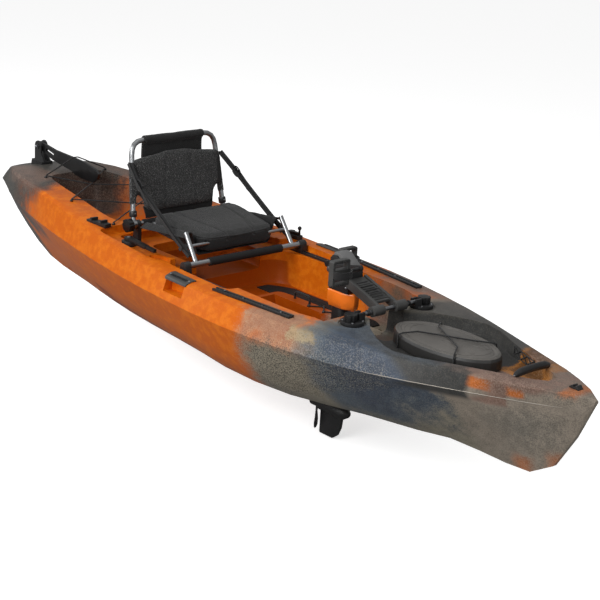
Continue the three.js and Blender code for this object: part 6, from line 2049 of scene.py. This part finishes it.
    def buckle(self, side: Side, top: Vector, middle: Vector, foot: Vector) -> None:
        """The ladder buckle that the strap is drawn through.

        Args:
            side: which side.
            top: the strap's upper end.
            middle: where the buckle sits.
            foot: the strap's lower end.
        """
        ahead = ((middle - top).normalized() + (foot - middle).normalized()).normalized()
        across = Vector((-ahead.z, 0, ahead.x))
        out = Vector(side.out)
        loop = []
        long, wide = self.buckle_half
        for a, b in ((-1, -1), (1, -1), (1, 1), (-1, 1)):
            loop.append(middle + ahead * (long * a) + across * (wide * b) + out * 0.001)
        outline = even_path(loop, 0.004, closed=True)
        frame = sweep(f"buckle_frame_{side.word}", outline, ring(self.buckle_wire, 8), closed=True)
        bars = []
        half = self.buckle_bar_half
        for k, step in enumerate((-self.buckle_bar_shift, self.buckle_bar_shift)):
            ends = [middle + ahead * step + across * reach + out * 0.0015 for reach in (-half, half)]
            bars.append(sweep(f"buckle_bar_{side.word}_{k}", np.array(ends), ring(self.buckle_bar, 8)))
        self.bend(merged(f"buckle_{side.word}", [frame, *bars]), Finishes.DEEP, "black_plastic")


@dataclass
class Drive:
    """The pedal drive: leg, head, cover, yoke, cranks, pedals and propeller."""

    axle: Pair = (0.610, 0.487)
    crossbar: Pair = (0.861, 0.390)
    crossbar_half: float = 0.160
    collar_rim: float = 0.352
    collar_skirt: float = 0.017
    yoke_rib_span: Pair = (0.715, 0.815)
    yoke_rib_gap: float = 0.0135
    yoke_rib: Point = (0.005, 0.056, 0.0030)
    stud_size: Pair = (0.0028, 0.0022)
    shaft_height: float = -0.095
    nut_outline: tuple = ((0, 0.004), (0.005, 0.003), (0.0075, 0), (0.0075, -0.004), (0, -0.004))
    cap_outline: tuple = ((0, 0.004), (0.010, 0.0036), (0.0118, 0.001), (0.0118, -0.006), (0, -0.006))
    cap_inset: float = 0.052
    yoke_bolt_side: float = 0.0862
    head_bolt_side: float = 0.0362
    head_bolts: tuple = ((0.590, 0.42), (0.668, 0.42), (0.640, 0.498))
    crank_bolt_outline: tuple = ((0, 0.005), (0.008, 0.0045), (0.0105, 0.002), (0.0105, 0), (0, 0))
    crank_bolt_side: float = 0.0752

    def build(self) -> None:
        """Makes the drive from the leg up."""
        dress("drive_leg", Finishes.BLACK, "drive", "black_plastic", 40, 0.0015)
        collar = dress("drive_collar", Finishes.COLLAR, "drive", "orange_plastic", 40, 0.003)
        places = coordinates(collar)
        places[places[:, 2] < self.collar_rim, 2] -= self.collar_skirt
        moved_to(collar, places)
        dress("drive_head", Finishes.BLACK, "drive", "black_plastic", 40, 0.004)
        dress("head_cover", Finishes.COVER, "drive", "grey_plastic", 40, 0.002)
        self.yoke()
        self.cranks()
        self.propeller()

    def yoke(self) -> None:
        """The plate to the crossbar, its ribs and bolts."""
        plate = dress("drive_yoke", Finishes.GREY, "drive", "grey_plastic", 30, 0.0018)
        surface = Surface(plate)
        starts = [(x, 0.0, 1) for x in np.linspace(*self.yoke_rib_span, 30)]
        line = surface.laid(starts, DOWN)
        if len(line) > 6:
            rib_row("yoke_ribs", spaced(line, 0.004), Finishes.BLACK, self.yoke_rib_gap, self.yoke_rib,
                    "drive", "grey_plastic")
        dress("crossbar", Finishes.STEEL, "drive", "steel", 50)
        x, z = self.crossbar
        caps = []
        for side in Side:
            outline = [(r, side.value * h) for r, h in self.cap_outline]
            place = (x, side.value * (self.crossbar_half - self.cap_inset), z)
            caps.append(revolve(f"cap_{side.word}", outline, place, "Y", 20))
        give(merged("crossbar_collars", caps), Finishes.BLACK, "drive", "black_plastic")
        bolts = [((x, side.value * self.yoke_bolt_side, z), side.out) for side in Side]
        bolts += [((x, side.value * self.head_bolt_side, z), side.out)
                  for side in Side for x, z in self.head_bolts]
        screw_heads("drive_bolts", bolts, Finishes.STEEL, 0.0055, 0.0026, "drive")

    def cranks(self) -> None:
        """The axle, arms, pedals and their grips."""
        dress("crank_axle", Finishes.STEEL, "crank", "steel", 50)
        x, z = self.axle
        for side in Side:
            dress(f"crank_arm_{side.word}", Finishes.BLACK, "crank", "black_plastic", 34, 0.0016)
            outline = [(r, side.value * h) for r, h in self.crank_bolt_outline]
            place = (x, side.value * self.crank_bolt_side, z)
            bolt = revolve(f"crank_bolt_{side.word}", outline, place, "Y", 24)
            give(bolt, Finishes.STEEL, "crank", "steel")
            self.pedal(side)

    def pedal(self, side: Side) -> None:
        """A caged pedal with grip bars, end plates and a strap.

        Args:
            side: which side.
        """
        body = f"{side.word}_pedal"
        node = f"pedal_{side.word}"
        dress(node, Finishes.GREY, body, "grey_plastic", 30, 0.0018)
        low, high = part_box(node)
        studs = []
        for y in np.linspace(low.y + 0.008, high.y - 0.008, 7):
            for z in (low.z + 0.006, high.z - 0.006):
                studs += [((low.x, y, z), AFT), ((high.x, y, z), FORWARD)]
        screw_heads(node + "_studs", studs, Finishes.BLACK, *self.stud_size, body, "grey_plastic")
        dress(f"pedal_strap_{side.word}", Finishes.STRAP, body, "cord", 40, 0.0006)

    def propeller(self) -> None:
        """The two-bladed propeller."""
        dress("propeller", Finishes.BLACK, "propeller", "grey_plastic", 50)
        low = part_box("propeller")[0]
        nut = revolve("propeller_nut", self.nut_outline, (low.x + 0.001, 0, self.shaft_height), "X", 6)
        give(nut, Finishes.STEEL, "propeller", "steel")


@dataclass
class Rudder:
    """The stern bracket, the swivel head and the blade."""

    pivot: Pair = (-1.492, 0.530)
    bolt_side: float = 0.0302

    def build(self) -> None:
        """Makes the rudder."""
        dress("rudder_bracket", Finishes.BLACK, "hull", "black_plastic", 30, 0.0012)
        dress("rudder_head", Finishes.BLACK, "rudder_swivel", "black_plastic", 36, 0.0015)
        dress("rudder_pin", Finishes.STEEL, "rudder_swivel", "steel", 40)
        dress("rudder_blade", Finishes.DEEP, "rudder_blade", "black_plastic", 34, 0.0014)
        low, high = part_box("rudder_bracket")
        spots = [((x, y, high.z), UP)
                 for x in (low.x + 0.010, high.x - 0.010) for y in (low.y + 0.006, high.y - 0.006)]
        screw_heads("rudder_screws", spots, Finishes.STEEL, 0.0042)
        x, z = self.pivot
        bolts = [((x, side.value * self.bolt_side, z), side.out) for side in Side]
        screw_heads("rudder_bolts", bolts, Finishes.STEEL, 0.0085, 0.0035, "rudder_swivel")


# The studio


@dataclass
class Studio:
    """The camera, the lamps and the floor."""

    eye: Point = EYE
    lens: float = LENS
    floor: float = FLOOR_HEIGHT
    reach: float = 30.0

    def build(self) -> None:
        """Sets the studio up."""
        self.camera()
        self.backdrop()
        self.lamp("key", (0.9, -4.6, 3.0), (0.2, 0, 0.2), 3.2, 215)
        self.lamp("over", (-0.4, 0.8, 4.8), (0, 0, 0.2), 5.0, 40)
        self.lamp("bow", (5.0, -0.6, 2.4), (1.2, 0, 0.2), 2.5, 26)
        self.lamp("aft", (-4.4, -2.9, 2.6), (-0.6, 0, 0.3), 1.8, 78)

    def camera(self) -> None:
        """The camera where the photographer stood."""
        ahead = Vector((math.cos(PITCH) * math.cos(YAW), math.cos(PITCH) * math.sin(YAW), math.sin(PITCH)))
        side = ahead.cross(Vector(UP)).normalized()
        rise = side.cross(ahead)
        right = side * math.cos(ROLL) + rise * math.sin(ROLL)
        up = rise * math.cos(ROLL) - side * math.sin(ROLL)
        data = bpy.data.cameras.new("camera")
        data.lens = self.lens
        data.sensor_width = 36
        data.clip_end = 100
        made = linked("camera", data)
        turn = Matrix((right, up, -ahead)).transposed().to_4x4()
        made.matrix_world = Matrix.Translation(self.eye) @ turn
        bpy.context.scene.camera = made

    def lamp(self, name: str, place: Point, target: Point, size: float, power: float) -> None:
        """One soft square lamp.

        Args:
            name: its name.
            place: where it hangs.
            target: where it points.
            size: its side.
            power: its power.
        """
        data = bpy.data.lights.new(name, "AREA")
        data.shape = "SQUARE"
        data.size = size
        data.energy = power
        made = linked(name, data)
        made.location = place
        made.rotation_euler = (Vector(target) - Vector(place)).to_track_quat("-Z", "Y").to_euler()

    def backdrop(self) -> None:
        """A white floor that keeps the boat's shadow, and a white world behind it."""
        far = self.reach
        corners = [(far * x, far * y, self.floor) for x, y in ((-1, -1), (1, -1), (1, 1), (-1, 1))]
        floor = make_object("studio_floor", corners, [(0, 1, 2, 3)])
        paint = bpy.data.materials.new("studio_white")
        tree = Tree(paint)
        seen = tree.add("LightPath").outputs["Is Camera Ray"]
        shade = tree.add("BsdfDiffuse", {"Color": (0.30, 0.30, 0.30, 1)})
        pale = tree.add("BsdfDiffuse", {"Color": (0.9, 0.9, 0.9, 1)})
        glow = tree.add("Emission", {"Color": (1, 1, 1, 1), "Strength": 0.62})
        both = tree.add("AddShader", {0: pale.outputs[0], 1: glow.outputs[0]})
        mixed = tree.add("MixShader", {0: seen, 1: shade.outputs[0], 2: both.outputs[0]})
        tree.add("OutputMaterial", {"Surface": mixed.outputs[0]})
        floor.data.materials.append(paint)
        world = bpy.data.worlds.new("studio")
        bpy.context.scene.world = world
        sky = Tree(world)
        seen = sky.add("LightPath").outputs["Is Camera Ray"]
        dim = sky.add("Background", {"Color": (1, 1, 1, 1), "Strength": 0.34})
        white = sky.add("Background", {"Color": (1, 1, 1, 1), "Strength": 1.0})
        mixed = sky.add("MixShader", {0: seen, 1: dim.outputs[0], 2: white.outputs[0]})
        sky.add("OutputWorld", {"Surface": mixed.outputs[0]})


def main() -> None:
    """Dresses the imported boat."""
    logging.basicConfig(level=logging.INFO, format="%(message)s")
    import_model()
    bpy.context.scene.view_settings.view_transform = "Standard"
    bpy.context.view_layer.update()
    Studio().build()
    hull = Hull()
    hull.build()
    Rails().build()
    Cords().build(hull)
    Fittings().build()
    Hatch().build()
    Seat().build()
    Drive().build()
    Rudder().build()


if __name__ == "__main__":
    main()
